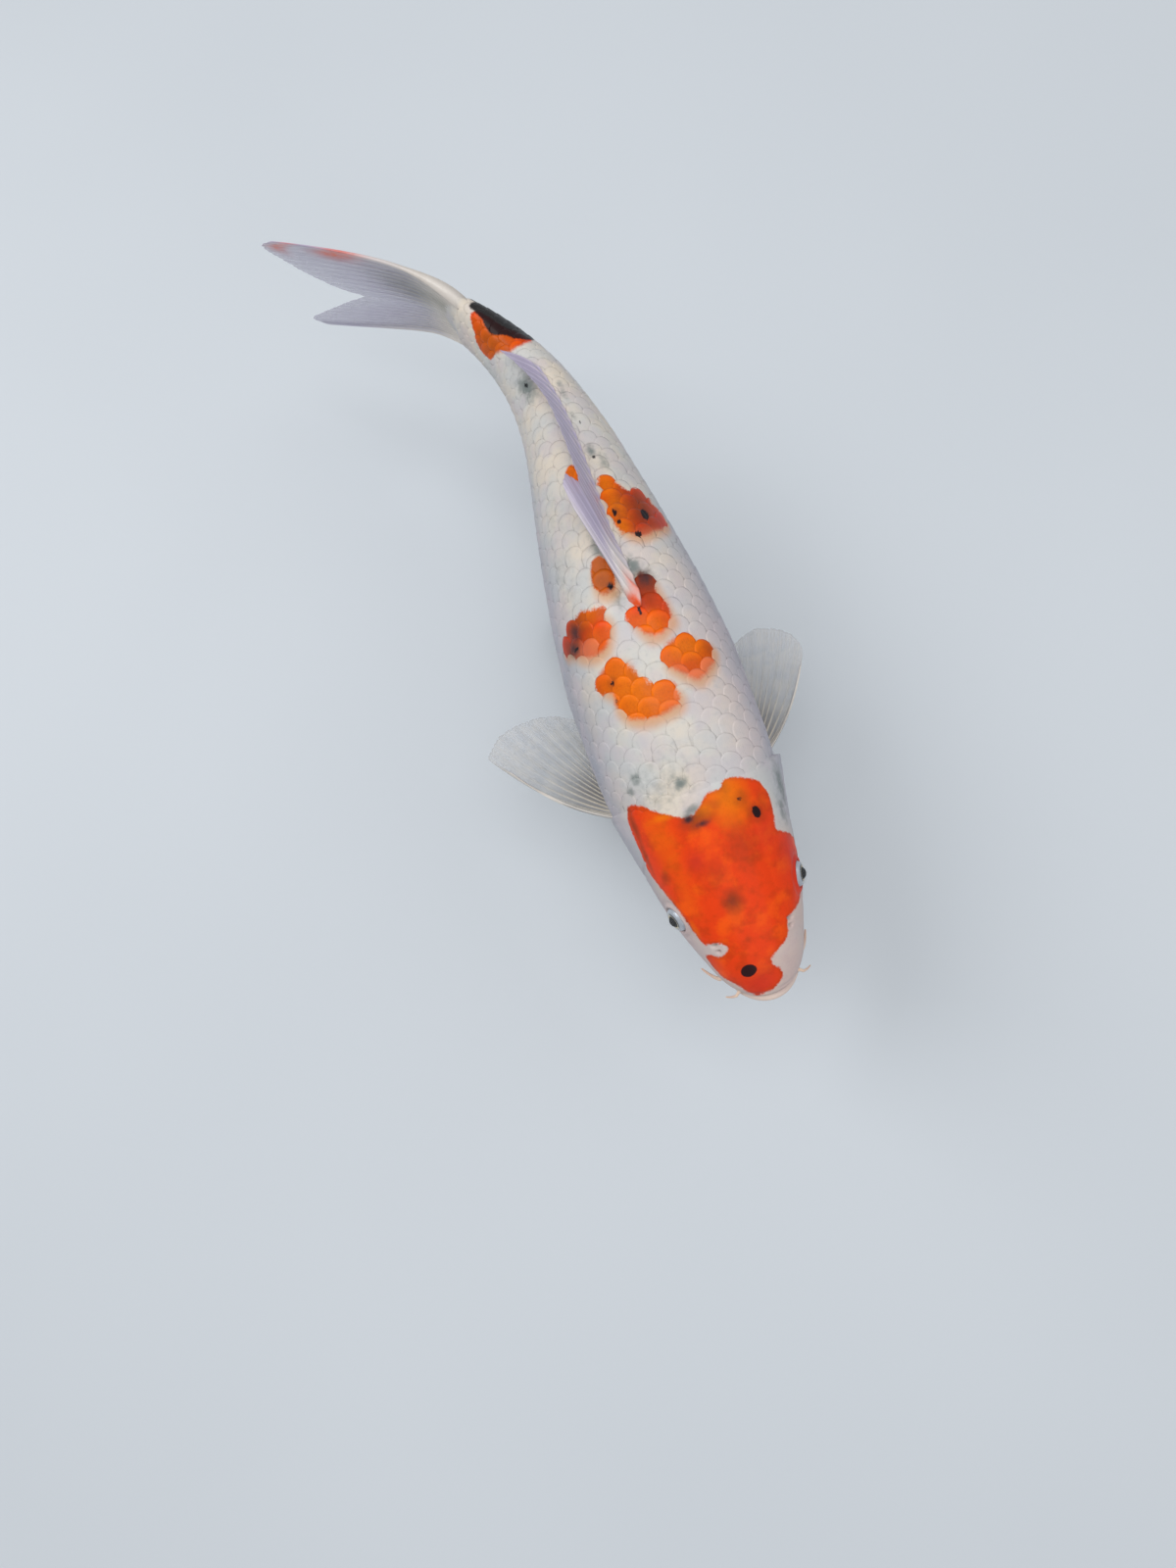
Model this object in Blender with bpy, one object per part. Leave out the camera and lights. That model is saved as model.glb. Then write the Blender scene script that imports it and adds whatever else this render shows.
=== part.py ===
"""Koi carp, a life-size still model on a plain display stand.

Metres, +Z up. The fish is level, its head faces -Y, its left side is +X, and its tail
bends towards its right side. The stand's underside is the plane z = 0. Lengths written
as shares are shares of the standard length, from the snout to the root of the tail fin.
"""

import math

import bmesh
import bpy
import numpy as np
from mathutils import Matrix, Vector

STANDARD_LENGTH = 0.355
SNOUT_AT = Vector((0.0089, -0.2109, 0.1240))
GAP = 0.0003  # between neighbouring solids

# Along the spine: how far the fish has turned towards its right side, in degrees.
BEND = (
    (0.00, 0.0), (0.25, 0.0), (0.40, -1.3), (0.70, -2.1), (0.80, 4.2), (0.90, 18.8),
    (1.00, 33.4), (1.06, 46.0), (1.14, 55.0), (1.40, 58.0),
)

# The body's sections, in shares: place along the spine, half width, rise from the widest
# level to the back, drop from it to the belly, the widest level, and squareness.
STATIONS = (
    (0.00, 0.0000, 0.000, 0.000, -0.012, 2.1),
    (0.03, 0.0465, 0.036, 0.034, -0.014, 2.2),
    (0.07, 0.0640, 0.058, 0.050, -0.015, 2.3),
    (0.13, 0.0840, 0.081, 0.067, -0.014, 2.4),
    (0.19, 0.0960, 0.101, 0.083, -0.012, 2.4),
    (0.25, 0.1050, 0.119, 0.098, -0.010, 2.4),
    (0.33, 0.1115, 0.135, 0.113, -0.006, 2.3),
    (0.42, 0.1120, 0.147, 0.127, -0.004, 2.2),
    (0.50, 0.1055, 0.151, 0.130, -0.003, 2.2),
    (0.60, 0.0910, 0.138, 0.123, 0.000, 2.1),
    (0.72, 0.0690, 0.108, 0.100, 0.002, 2.1),
    (0.82, 0.0505, 0.078, 0.075, 0.004, 2.0),
    (0.90, 0.0385, 0.062, 0.059, 0.005, 2.0),
    (0.96, 0.0300, 0.056, 0.052, 0.005, 2.0),
    (1.00, 0.0240, 0.056, 0.052, 0.004, 2.0),
)

HEAD_END = 0.262
TRUNK_END = 0.680
AROUND = 32  # points round each section

EYE_AT = (0.131, 20.0)  # place along the spine, and degrees up from the side
EYE_RADIUS = 0.0068
EYE_STANDS_OUT = 0.0038

# Its middle's place and degrees, and how far it reaches along and round the body.
GILL_COVER = {"middle": 0.215, "half_length": 0.060, "angle": -10.0, "half_angle": 52.0}
GILL_COVER_DEPTH = 0.0030
GILL_FLARE = {"left": 0.0030, "right": 0.0014}

MOUTH_SLOPE = math.radians(14.0)
MOUTH_AT = -0.0160  # level of the mouth's slit at the snout, a share
JAW_LENGTH = 0.100

# Heights of the fins along their roots, as share of the root and share of the body.
LONG_FIN_ROOT = 0.0020  # thickness of the dorsal and anal fins at their roots
FIN_EDGE = 0.0007  # thickness of a fin's margin
DORSAL = {
    "along": (0.478, 0.850), "root_angle": (88.5, 85.0),
    "sweep": (24.0, 18.0), "curl": (0.60, 0.30),
}
# Along the fin: share, length of the ray, its lean and its curl to the right side.
DORSAL_RAYS = (
    (0.00, 0.126, 36.0, 0.1), (0.04, 0.140, 35.0, 0.1), (0.10, 0.130, 32.0, 0.1),
    (0.20, 0.087, 26.0, 0.1), (0.40, 0.070, 33.0, 0.1), (0.60, 0.057, 41.0, 0.5),
    (0.80, 0.047, 56.0, 1.6), (1.00, 0.046, 80.0, 3.6),
)
ANAL = {"along": (0.775, 0.858), "sweep": (44.0, 30.0), "lean_left": 0.15}
ANAL_HEIGHTS = ((0.0, 0.118), (0.15, 0.130), (0.4, 0.105), (1.0, 0.060))

# A paired fin: its root along the body (place, degrees from the side), then along the
# fan from the leading ray to the last: share, length, degrees outwards and downwards.
PECTORALS = {
    "right": {
        "root": ((0.283, -42.0), (0.312, -52.0)),
        "fan": (
            (0.00, 0.165, 66.0, 3.0), (0.12, 0.204, 64.0, 4.0), (0.28, 0.200, 52.0, 6.0),
            (0.50, 0.186, 38.0, 8.0), (0.75, 0.168, 25.0, 10.0), (1.00, 0.135, 13.0, 12.0),
        ),
    },
    "left": {
        "root": ((0.286, -42.0), (0.314, -52.0)),
        "fan": (
            (0.00, 0.152, 62.0, 9.0), (0.12, 0.176, 60.0, 10.0), (0.28, 0.194, 46.0, 12.0),
            (0.50, 0.196, 32.0, 14.0), (0.75, 0.178, 21.0, 16.0), (1.00, 0.150, 14.0, 18.0),
        ),
    },
}
PECTORAL_ROOT = 0.0034  # thickness at the root
PELVIC = {
    "root": ((0.470, -71.0), (0.498, -78.0)),
    "fan": (
        (0.00, 0.115, 18.0, 25.0), (0.20, 0.138, 13.0, 24.0), (0.50, 0.134, 6.0, 22.0),
        (0.80, 0.118, 0.0, 20.0), (1.00, 0.092, -6.0, 19.0),
    ),
}
PELVIC_ROOT = 0.0028
FAN_CURL = (0.36, 0.17)  # how far a ray that starts sideways bends back, and in

TAIL_FORK = 0.168  # length of the tail fin's middle rays
TAIL_UPPER = {"length": 0.264, "tip": 0.164, "spread": 0.80, "fullness": 0.42, "twist": 0.27}
TAIL_LOWER = {"length": 0.314, "tip": 0.150, "spread": 1.15, "fullness": 0.90, "twist": 0.16}
TAIL_SAG = 0.012  # how far the fork hangs under the line of the body
TAIL_DROOP = 0.010
TAIL_ROOT = 0.050  # half height of the fin's root
TAIL_ROOT_THICKNESS = 0.0150

# name: place and degrees of the root, length, the way it points (back, out, down), radius
BARBELS = {
    "corner": ((0.046, -24.0), 0.046, (0.25, 0.40, 0.85), 0.0010),
    "upper": ((0.022, -4.0), 0.022, (-0.10, 0.60, 0.70), 0.0007),
}

ROD_PLACES = {"front": 0.34, "rear": 0.63}
ROD_RADIUS = 0.0035
ROD_SINKS_IN = 0.012
ROD_SEAT = 0.004
BASE_SIZE = Vector((0.072, 0.140, 0.010))
BASE_CORNER = 0.018
BASE_EDGE = 0.0015


def smooth(table, column, at):
    """A monotone cubic through a table's column, read at the given place."""
    xs = [row[0] for row in table]
    ys = [row[column] for row in table]
    at = min(max(at, xs[0]), xs[-1])
    i = max(k for k in range(len(xs) - 1) if xs[k] <= at)
    slopes = [(ys[k + 1] - ys[k]) / (xs[k + 1] - xs[k]) for k in range(len(xs) - 1)]

    def tangent(k):
        if k == 0 or k == len(xs) - 1:
            return slopes[min(k, len(slopes) - 1)]
        before, after = slopes[k - 1], slopes[k]
        return 0.0 if before * after <= 0 else 2 * before * after / (before + after)

    step = xs[i + 1] - xs[i]
    t = (at - xs[i]) / step
    return (
        ys[i] * (1 + 2 * t) * (1 - t) ** 2
        + ys[i + 1] * t * t * (3 - 2 * t)
        + tangent(i) * step * t * (1 - t) ** 2
        - tangent(i + 1) * step * t * t * (1 - t)
    )


def traced_spine(steps=1400, end=1.4):
    """The spine's plan, by adding up short steps along its heading."""
    places = np.linspace(0.0, end, steps + 1)
    headings = np.radians([smooth(BEND, 1, place) for place in places])
    middle = (headings[1:] + headings[:-1]) / 2
    length = STANDARD_LENGTH * end / steps
    x = np.concatenate([[0.0], np.cumsum(-np.sin(middle) * length)])
    y = np.concatenate([[0.0], np.cumsum(np.cos(middle) * length)])
    return places, x, y, headings


SPINE = traced_spine()
UP = Vector((0, 0, 1))


def spine(place):
    """A point of the spine, the direction of the tail there, and that of the left side."""
    places, xs, ys, headings = SPINE
    heading = float(np.interp(place, places, headings))
    point = Vector((float(np.interp(place, places, xs)), float(np.interp(place, places, ys)), 0))
    tailward = Vector((-math.sin(heading), math.cos(heading), 0))
    left = Vector((math.cos(heading), math.sin(heading), 0))
    return SNOUT_AT + point, tailward, left


def section(place):
    """Half width, rise, drop and widest level in metres, and squareness. Squares are
    interpolated, so that the snout closes round."""
    squares = [(row[0], row[1] ** 2, row[2] ** 2, row[3] ** 2) for row in STATIONS]
    sizes = [math.sqrt(smooth(squares, column, place)) for column in (1, 2, 3)]
    level = smooth(STATIONS, 4, place)
    return [STANDARD_LENGTH * size for size in sizes + [level]] + [smooth(STATIONS, 5, place)]


def skin(place, degrees):
    """A point of the body's surface: 0 is the left side, 90 the back, 270 the belly."""
    centre, _, left = spine(place)
    width, rise, drop, level, square = section(place)
    c, s = math.cos(math.radians(degrees)), math.sin(math.radians(degrees))
    across = math.copysign(abs(c) ** (2 / square), c) * width
    up = math.copysign(abs(s) ** (2 / square), s) * (rise if s > 0 else drop)
    return centre + left * across + UP * (up + level)


def skin_normal(place, degrees):
    along = skin(place + 0.002, degrees) - skin(place - 0.002, degrees)
    around = skin(place, degrees + 1.5) - skin(place, degrees - 1.5)
    return along.cross(around).normalized()


def material(name, colour, roughness, metallic=0.0):
    made = bpy.data.materials.new(name)
    made.use_nodes = True
    shader = made.node_tree.nodes["Principled BSDF"]
    shader.inputs["Base Color"].default_value = (*colour, 1.0)
    shader.inputs["Roughness"].default_value = roughness
    shader.inputs["Metallic"].default_value = metallic
    return made


def add(name, bm, collection, made=None, smooth_shading=True):
    """An object from a bmesh, with its faces turned outwards."""
    bmesh.ops.recalc_face_normals(bm, faces=bm.faces)
    mesh = bpy.data.meshes.new(name)
    bm.to_mesh(mesh)
    bm.free()
    if smooth_shading:
        mesh.shade_smooth()
        mesh.set_sharp_from_angle(angle=math.radians(40))
    obj = bpy.data.objects.new(name, mesh)
    collection.objects.link(obj)
    if made:
        mesh.materials.append(made)
    return obj


def hide(obj):
    obj.hide_render = True
    obj.display_type = "WIRE"


def cut(obj, cutter, operation="DIFFERENCE"):
    boolean = obj.modifiers.new(f"{operation.lower()} {cutter.name}", "BOOLEAN")
    boolean.operation = operation
    boolean.object = cutter


def loft(rings):
    """A closed bmesh through rings of points, with a flat cap at each end."""
    bm = bmesh.new()
    rows = [[bm.verts.new(point) for point in ring] for ring in rings]
    for first, second in zip(rows, rows[1:]):
        for k in range(len(first)):
            after = (k + 1) % len(first)
            bm.faces.new((first[k], first[after], second[after], second[k]))
    bm.faces.new(rows[0])
    bm.faces.new(rows[-1])
    return bm


def body_ring(place):
    return [skin(place, 360 * k / AROUND) for k in range(AROUND)]


def body_length(name, places, parts, colour):
    return add(name, loft([body_ring(place) for place in places]), parts, material(name, colour, 0.35))


def between(ends, share):
    return ends[0] + (ends[1] - ends[0]) * share


def even(start, end, count):
    return [between((start, end), k / (count - 1)) for k in range(count)]


def box(name, size, matrix, collection):
    bm = bmesh.new()
    bmesh.ops.create_cube(bm, size=1.0, matrix=matrix @ Matrix.Diagonal((*size, 1)))
    return add(name, bm, collection, smooth_shading=False)


def jaw_wedge(name, grow, cutters):
    """The block under the mouth's slit and in front of the throat."""
    slit = SNOUT_AT + Vector((0, 0, MOUTH_AT * STANDARD_LENGTH))
    length = JAW_LENGTH * STANDARD_LENGTH
    size = Vector((0.08, length + 0.02, 0.05))
    tilt = Matrix.Rotation(-MOUTH_SLOPE, 4, "X")
    centre = Vector((0, length / 2 - 0.01 + grow / 2, -size.z / 2 + grow / 2))
    matrix = Matrix.Translation(slit) @ tilt @ Matrix.Translation(centre)
    wedge = box(name, size + Vector((0, grow, grow)), matrix, cutters)
    hide(wedge)
    return wedge


def gill_outline(turn, share):
    """A place on the gill cover, from its middle (share 0) to its edge (share 1)."""
    c, s = math.cos(turn), math.sin(turn)
    x = math.copysign(abs(c) ** 0.8, c) * share
    y = math.copysign(abs(s) ** 0.8, s) * share
    # The edge in front is flatter than the one behind, and it leans back at the top.
    half_length = GILL_COVER["half_length"] * (1.0 if x > 0 else 0.86)
    place = GILL_COVER["middle"] + half_length * x + 0.012 * y
    return place, GILL_COVER["angle"] + GILL_COVER["half_angle"] * y, x


def gill_solid(side, flare, inside, outside, share):
    """A curved plate along the skin, as a bmesh. Its rear edge stands out by the flare."""
    rings, turns = 4, 28
    sheets = []
    for outer in (True, False):
        sheet = []
        for k in range(rings):
            reach = share * ((k + 1) / rings)
            row = []
            for j in range(turns):
                place, degrees, back = gill_outline(2 * math.pi * j / turns, reach)
                degrees = degrees if side == "left" else 180 - degrees
                lift = flare * max(0.0, 0.35 + 0.65 * back) ** 2
                offset = lift + outside if outer else lift * 0.6 - inside
                row.append(skin(place, degrees) + skin_normal(place, degrees) * offset)
            sheet.append(row)
        sheets.append(sheet)
    return loft(sheets[0] + sheets[1][::-1])


def gill_cover(side, parts, cutters, neighbours):
    flare = GILL_FLARE[side]
    name = f"gill_cover_{side}"
    plate = gill_solid(side, flare, GILL_COVER_DEPTH, 0.0, 1.0)
    add(name, plate, parts, material(name, (0.80, 0.70, 0.60), 0.3))
    edge = 1.0 + 2.4 * GAP / (GILL_COVER["half_length"] * STANDARD_LENGTH)
    space = gill_solid(side, flare, GILL_COVER_DEPTH + 2 * GAP, 0.006, edge)
    pocket = add(f"{name}_pocket", space, cutters)
    hide(pocket)
    for neighbour in neighbours:
        cut(neighbour, pocket)


def eye(side, head, parts, cutters):
    place, rise = EYE_AT
    degrees = rise if side == "left" else 180 - rise
    centre = skin(place, degrees) + skin_normal(place, degrees) * (EYE_STANDS_OUT - EYE_RADIUS)
    for name, radius in ((f"eye_{side}", EYE_RADIUS), (f"eye_{side}_socket", EYE_RADIUS + GAP)):
        bm = bmesh.new()
        bmesh.ops.create_uvsphere(
            bm, u_segments=16, v_segments=10, radius=radius, matrix=Matrix.Translation(centre)
        )
        if name.endswith("socket"):
            socket = add(name, bm, cutters)
            hide(socket)
            cut(head, socket)
        else:
            add(name, bm, parts, material(name, (0.03, 0.03, 0.035), 0.1))


def fin(name, rays, root_thickness, edge_thickness, parts, root_side=None):
    """A closed blade from its rays, each a list of points from the root to the margin."""
    grid = np.array([[tuple(point) for point in ray] for ray in rays])
    along = np.gradient(grid, axis=1)
    across = np.gradient(grid, axis=0)
    normal = np.cross(across, along)
    normal /= np.linalg.norm(normal, axis=2, keepdims=True)
    if root_side:
        normal[:, 0] = root_side
    share = np.linspace(0, 1, grid.shape[1]) ** 0.7
    roots = np.broadcast_to(root_thickness, len(rays))[:, None]
    half = (roots + (edge_thickness - roots) * share)[:, :, None] / 2
    bm = bmesh.new()
    sheets = [
        [[bm.verts.new(point) for point in row] for row in grid + sign * normal * half]
        for sign in (1, -1)
    ]
    last_ray, last_step = grid.shape[0] - 1, grid.shape[1] - 1
    for sheet in sheets:
        for i in range(last_ray):
            for j in range(last_step):
                bm.faces.new((sheet[i][j], sheet[i + 1][j], sheet[i + 1][j + 1], sheet[i][j + 1]))
    top, under = sheets
    for i in range(last_ray):
        for j in (0, last_step):
            bm.faces.new((top[i][j], top[i + 1][j], under[i + 1][j], under[i][j]))
    for j in range(last_step):
        for i in (0, last_ray):
            bm.faces.new((top[i][j], top[i][j + 1], under[i][j + 1], under[i][j]))
    return add(name, bm, parts, material(name, (0.78, 0.74, 0.66), 0.3))


def swept_ray(root, heading, length, sag=Vector((0, 0, 0)), steps=6):
    """A fin ray that leaves its root along the heading and curves by the sag."""
    reach = length * STANDARD_LENGTH
    return [root + heading * (reach * t) + sag * (reach * t * t) for t in even(0.0, 1.0, steps)]


def dorsal_fin(parts):
    """Half folded: its rays lie back along the body, and it leans to the right side."""
    rays = []
    for share in even(0.0, 1.0, 17):
        place = between(DORSAL["along"], share)
        _, tailward, left = spine(place)
        sweep = math.radians(between(DORSAL["sweep"], share))
        lean = math.radians(smooth(DORSAL_RAYS, 2, share))
        rise = UP * math.cos(lean) - left * math.sin(lean)
        heading = tailward * math.cos(sweep) + rise * math.sin(sweep)
        lifted = GAP + 0.5 * LONG_FIN_ROOT * math.sin(lean)
        root = skin(place, between(DORSAL["root_angle"], share)) + UP * lifted
        back, down = DORSAL["curl"]
        aside = smooth(DORSAL_RAYS, 3, share)
        curl = (tailward * back - left * aside - UP * down) * math.sin(sweep) ** 2
        rays.append(swept_ray(root, heading, smooth(DORSAL_RAYS, 1, share), sag=curl))
    fin("dorsal_fin", rays, LONG_FIN_ROOT, FIN_EDGE, parts)


def anal_fin(parts):
    rays = []
    for share in even(0.0, 1.0, 9):
        place = between(ANAL["along"], share)
        _, tailward, left = spine(place)
        sweep = math.radians(between(ANAL["sweep"], share))
        heading = tailward * math.cos(sweep) - UP * math.sin(sweep) + left * ANAL["lean_left"]
        root = skin(place, 270) - UP * (GAP + 0.1 * LONG_FIN_ROOT)
        rays.append(swept_ray(root, heading, smooth(ANAL_HEIGHTS, 1, share)))
    fin("anal_fin", rays, LONG_FIN_ROOT, FIN_EDGE, parts)


def paired_fin(kind, side, shape, ray_count, parts, root_thickness):
    sign = 1 if side == "left" else -1
    places, angles = zip(*shape["root"])
    rays = []
    for share in even(0.0, 1.0, ray_count):
        place = between(places, share)
        angle = between(angles, share)
        degrees = angle if side == "left" else 180 - angle
        _, tailward, left = spine(place)
        out = left * sign
        spread = math.radians(smooth(shape["fan"], 2, share))
        drop = math.radians(smooth(shape["fan"], 3, share))
        heading = tailward * math.cos(spread) + out * math.sin(spread)
        heading = heading * math.cos(drop) - UP * math.sin(drop)
        length = smooth(shape["fan"], 1, share)
        root = skin(place, degrees) + skin_normal(place, degrees) * (GAP + root_thickness / 2)
        bend = (tailward * FAN_CURL[0] - out * FAN_CURL[1]) * math.sin(spread) ** 2
        rays.append(swept_ray(root, heading, length, sag=bend))
    fin(f"{kind}_fin_{side}", rays, root_thickness, FIN_EDGE, parts)


def tail_length(v, lobe):
    """From the fork (v = 0) to a lobe's outer ray (v = 1 or -1), whose tip is rounded."""
    reach = (lobe["length"] - TAIL_FORK) * abs(v) ** lobe["fullness"]
    rounding = 1 - 0.13 * max(0.0, (abs(v) - 0.80) / 0.20) ** 2
    return (TAIL_FORK + reach) * rounding


def tail_fin(parts):
    """The tail's root is as thick as the stalk, and it thins within a fifth of its length."""
    rays = []
    heights = even(-1.0, 1.0, 21)
    steps = [0.0, 0.05, 0.12, 0.22, 0.36, 0.54, 0.76, 1.0]
    for v in heights:
        lobe = TAIL_UPPER if v > 0 else TAIL_LOWER
        column = []
        for u in steps:
            place = 1.0 + GAP / STANDARD_LENGTH + tail_length(v, lobe) * u
            half_height = TAIL_ROOT + (lobe["tip"] - TAIL_ROOT) * u ** lobe["spread"]
            middle = STATIONS[-1][4] - (TAIL_DROOP + TAIL_SAG * (1 - v * v)) * u
            level = middle + v * half_height
            centre, _, left = spine(place)
            lean = -left * (lobe["twist"] * u * level)
            column.append(centre + (UP * level + lean) * STANDARD_LENGTH)
        rays.append(column)
    roots = [TAIL_ROOT_THICKNESS * math.sqrt(1 - (0.95 * v) ** 2) for v in heights]
    fin("tail_fin", rays, roots, FIN_EDGE, parts, root_side=tuple(-spine(1.0)[2]))


def barbel(kind, side, parts):
    (place, angle), length, way, radius = BARBELS[kind]
    sign = 1 if side == "left" else -1
    degrees = angle if side == "left" else 180 - angle
    _, tailward, left = spine(place)
    heading = (tailward * way[0] + left * sign * way[1] - UP * way[2]).normalized()
    root = skin(place, degrees) + skin_normal(place, degrees) * (GAP + radius * 0.9)
    curve = bpy.data.curves.new(f"barbel_{kind}_{side}", "CURVE")
    curve.dimensions = "3D"
    curve.bevel_depth = radius
    curve.bevel_resolution = 2
    curve.use_fill_caps = True
    line = curve.splines.new("POLY")
    path = swept_ray(root, heading, length, sag=tailward * 0.25 - UP * 0.2)
    line.points.add(len(path) - 1)
    for k, (point, knot) in enumerate(zip(path, line.points)):
        knot.co = (*point, 1.0)
        knot.radius = 1.0 - 0.6 * k / (len(path) - 1)
    obj = bpy.data.objects.new(curve.name, curve)
    curve.materials.append(material(curve.name, (0.85, 0.62, 0.45), 0.35))
    parts.objects.link(obj)


def rod(which, trunk, base, parts, cutters):
    place = ROD_PLACES[which]
    belly = skin(place, 270)
    bottom = BASE_SIZE.z - ROD_SEAT
    top = belly.z + ROD_SINKS_IN
    for name, radius, low, high in (
        (f"stand_rod_{which}", ROD_RADIUS, bottom + GAP, top - GAP),
        (f"rod_{which}_bore", ROD_RADIUS + GAP, bottom, top),
    ):
        bm = bmesh.new()
        centre = Matrix.Translation(Vector((belly.x, belly.y, (low + high) / 2)))
        bmesh.ops.create_cone(
            bm, cap_ends=True, segments=24, radius1=radius, radius2=radius,
            depth=high - low, matrix=centre,
        )
        if name.endswith("bore"):
            bore = add(name, bm, cutters)
            hide(bore)
            cut(trunk, bore)
            cut(base, bore)
        else:
            add(name, bm, parts, material(name, (0.62, 0.62, 0.64), 0.28, 1.0))


def stand_base(parts):
    """A flat plate with round corners, under the middle of the two rods."""
    middle = (skin(ROD_PLACES["front"], 270) + skin(ROD_PLACES["rear"], 270)) / 2
    bm = bmesh.new()
    centre = Matrix.Translation(Vector((middle.x, middle.y, BASE_SIZE.z / 2)))
    bmesh.ops.create_cube(bm, size=1.0, matrix=centre @ Matrix.Diagonal((*BASE_SIZE, 1)))
    uprights = [e for e in bm.edges if abs(e.verts[0].co.z - e.verts[1].co.z) > 0.001]
    bmesh.ops.bevel(bm, geom=uprights, offset=BASE_CORNER, segments=6, affect="EDGES", profile=0.5)
    rim = [e for e in bm.edges if min(v.co.z for v in e.verts) > BASE_SIZE.z - 1e-5]
    bmesh.ops.bevel(bm, geom=rim, offset=BASE_EDGE, segments=2, affect="EDGES", profile=0.5)
    return add("stand_base", bm, parts, material("stand_base", (0.30, 0.30, 0.31), 0.5))


def main():
    for obj in list(bpy.data.objects):
        bpy.data.objects.remove(obj, do_unlink=True)
    parts = bpy.data.collections.new("koi_carp")
    cutters = bpy.data.collections.new("cutters")
    bpy.context.scene.collection.children.link(parts)
    bpy.context.scene.collection.children.link(cutters)

    rows = 22
    crowded = [0.0002 + (HEAD_END - 0.0002) * (k / rows) ** 1.8 for k in range(rows + 1)]
    gap = GAP / STANDARD_LENGTH
    head = body_length("head", crowded, parts, (0.75, 0.12, 0.03))
    jaw = body_length("lower_jaw", crowded, parts, (0.80, 0.55, 0.42))
    trunk = body_length("trunk", even(HEAD_END + gap, TRUNK_END, 14), parts, (0.82, 0.76, 0.66))
    body_length("tail_stalk", even(TRUNK_END + gap, 1.0, 13), parts, (0.82, 0.76, 0.66))
    cut(jaw, jaw_wedge("jaw_block", 0.0, cutters), "INTERSECT")
    cut(head, jaw_wedge("jaw_space", GAP, cutters))
    for side in ("left", "right"):
        gill_cover(side, parts, cutters, (head, trunk))
        eye(side, head, parts, cutters)
        paired_fin("pectoral", side, PECTORALS[side], 13, parts, PECTORAL_ROOT)
        paired_fin("pelvic", side, PELVIC, 10, parts, PELVIC_ROOT)
        for kind in BARBELS:
            barbel(kind, side, parts)
    dorsal_fin(parts)
    anal_fin(parts)
    tail_fin(parts)
    base = stand_base(parts)
    for which in ROD_PLACES:
        rod(which, trunk, base, parts, cutters)


main()
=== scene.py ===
"""Looks of the koi carp model: one skin with a fine head, overlapping scales, rayed fins,
eyes, barbels, and the finishes of the display stand.

Lengths are in metres unless a name or a comment says otherwise. "Place" runs along the
spine from the snout (0) to the root of the tail fin (1), as in the solids. "Across" is the
distance over the skin from the middle of the back, positive on the fish's left side. Both
are shares of the standard length.
"""

import math

import bpy
import numpy as np
from mathutils import Matrix, Vector


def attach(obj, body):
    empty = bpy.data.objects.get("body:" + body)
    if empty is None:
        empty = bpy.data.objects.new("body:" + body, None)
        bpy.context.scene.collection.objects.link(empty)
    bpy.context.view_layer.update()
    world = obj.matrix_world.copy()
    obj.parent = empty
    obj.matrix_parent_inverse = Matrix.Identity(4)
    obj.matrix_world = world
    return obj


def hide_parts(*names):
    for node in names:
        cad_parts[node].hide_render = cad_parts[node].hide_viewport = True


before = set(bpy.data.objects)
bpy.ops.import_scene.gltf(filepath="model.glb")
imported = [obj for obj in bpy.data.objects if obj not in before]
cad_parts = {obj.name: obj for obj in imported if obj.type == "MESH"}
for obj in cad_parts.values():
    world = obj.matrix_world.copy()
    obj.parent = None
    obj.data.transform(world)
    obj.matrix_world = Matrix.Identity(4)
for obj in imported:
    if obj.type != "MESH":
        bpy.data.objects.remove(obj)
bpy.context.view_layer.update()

# ---- the solids' dimensions

LENGTH = 0.355  # the standard length, from the snout to the root of the tail fin
SNOUT_AT = np.array([0.0089, -0.2109, 0.1240])
MM = 0.001
GAP = 0.3 * MM
SIDES = {"left": 1, "right": -1}
UP = np.array([0.0, 0.0, 1.0])

# Along the spine: how far the fish has turned towards its right side, in degrees.
BEND = (
    (0.00, 0.0), (0.25, 0.0), (0.40, -1.3), (0.70, -2.1), (0.80, 4.2), (0.90, 18.8),
    (1.00, 33.4), (1.06, 46.0), (1.14, 55.0), (1.40, 58.0),
)
# Place along the spine, half width, rise from the widest level to the back, drop from it
# to the belly, the widest level, and squareness.
STATIONS = (
    (0.00, 0.0000, 0.000, 0.000, -0.012, 2.1), (0.03, 0.0465, 0.036, 0.034, -0.014, 2.2),
    (0.07, 0.0640, 0.058, 0.050, -0.015, 2.3), (0.13, 0.0840, 0.081, 0.067, -0.014, 2.4),
    (0.19, 0.0960, 0.101, 0.083, -0.012, 2.4), (0.25, 0.1050, 0.119, 0.098, -0.010, 2.4),
    (0.33, 0.1115, 0.135, 0.113, -0.006, 2.3), (0.42, 0.1120, 0.147, 0.127, -0.004, 2.2),
    (0.50, 0.1055, 0.151, 0.130, -0.003, 2.2), (0.60, 0.0910, 0.138, 0.123, 0.000, 2.1),
    (0.72, 0.0690, 0.108, 0.100, 0.002, 2.1), (0.82, 0.0505, 0.078, 0.075, 0.004, 2.0),
    (0.90, 0.0385, 0.062, 0.059, 0.005, 2.0), (0.96, 0.0300, 0.056, 0.052, 0.005, 2.0),
    (1.00, 0.0240, 0.056, 0.052, 0.004, 2.0),
)
STALK_TAPER = 0.052  # how far past the last station the body thins into the tail fin

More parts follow.
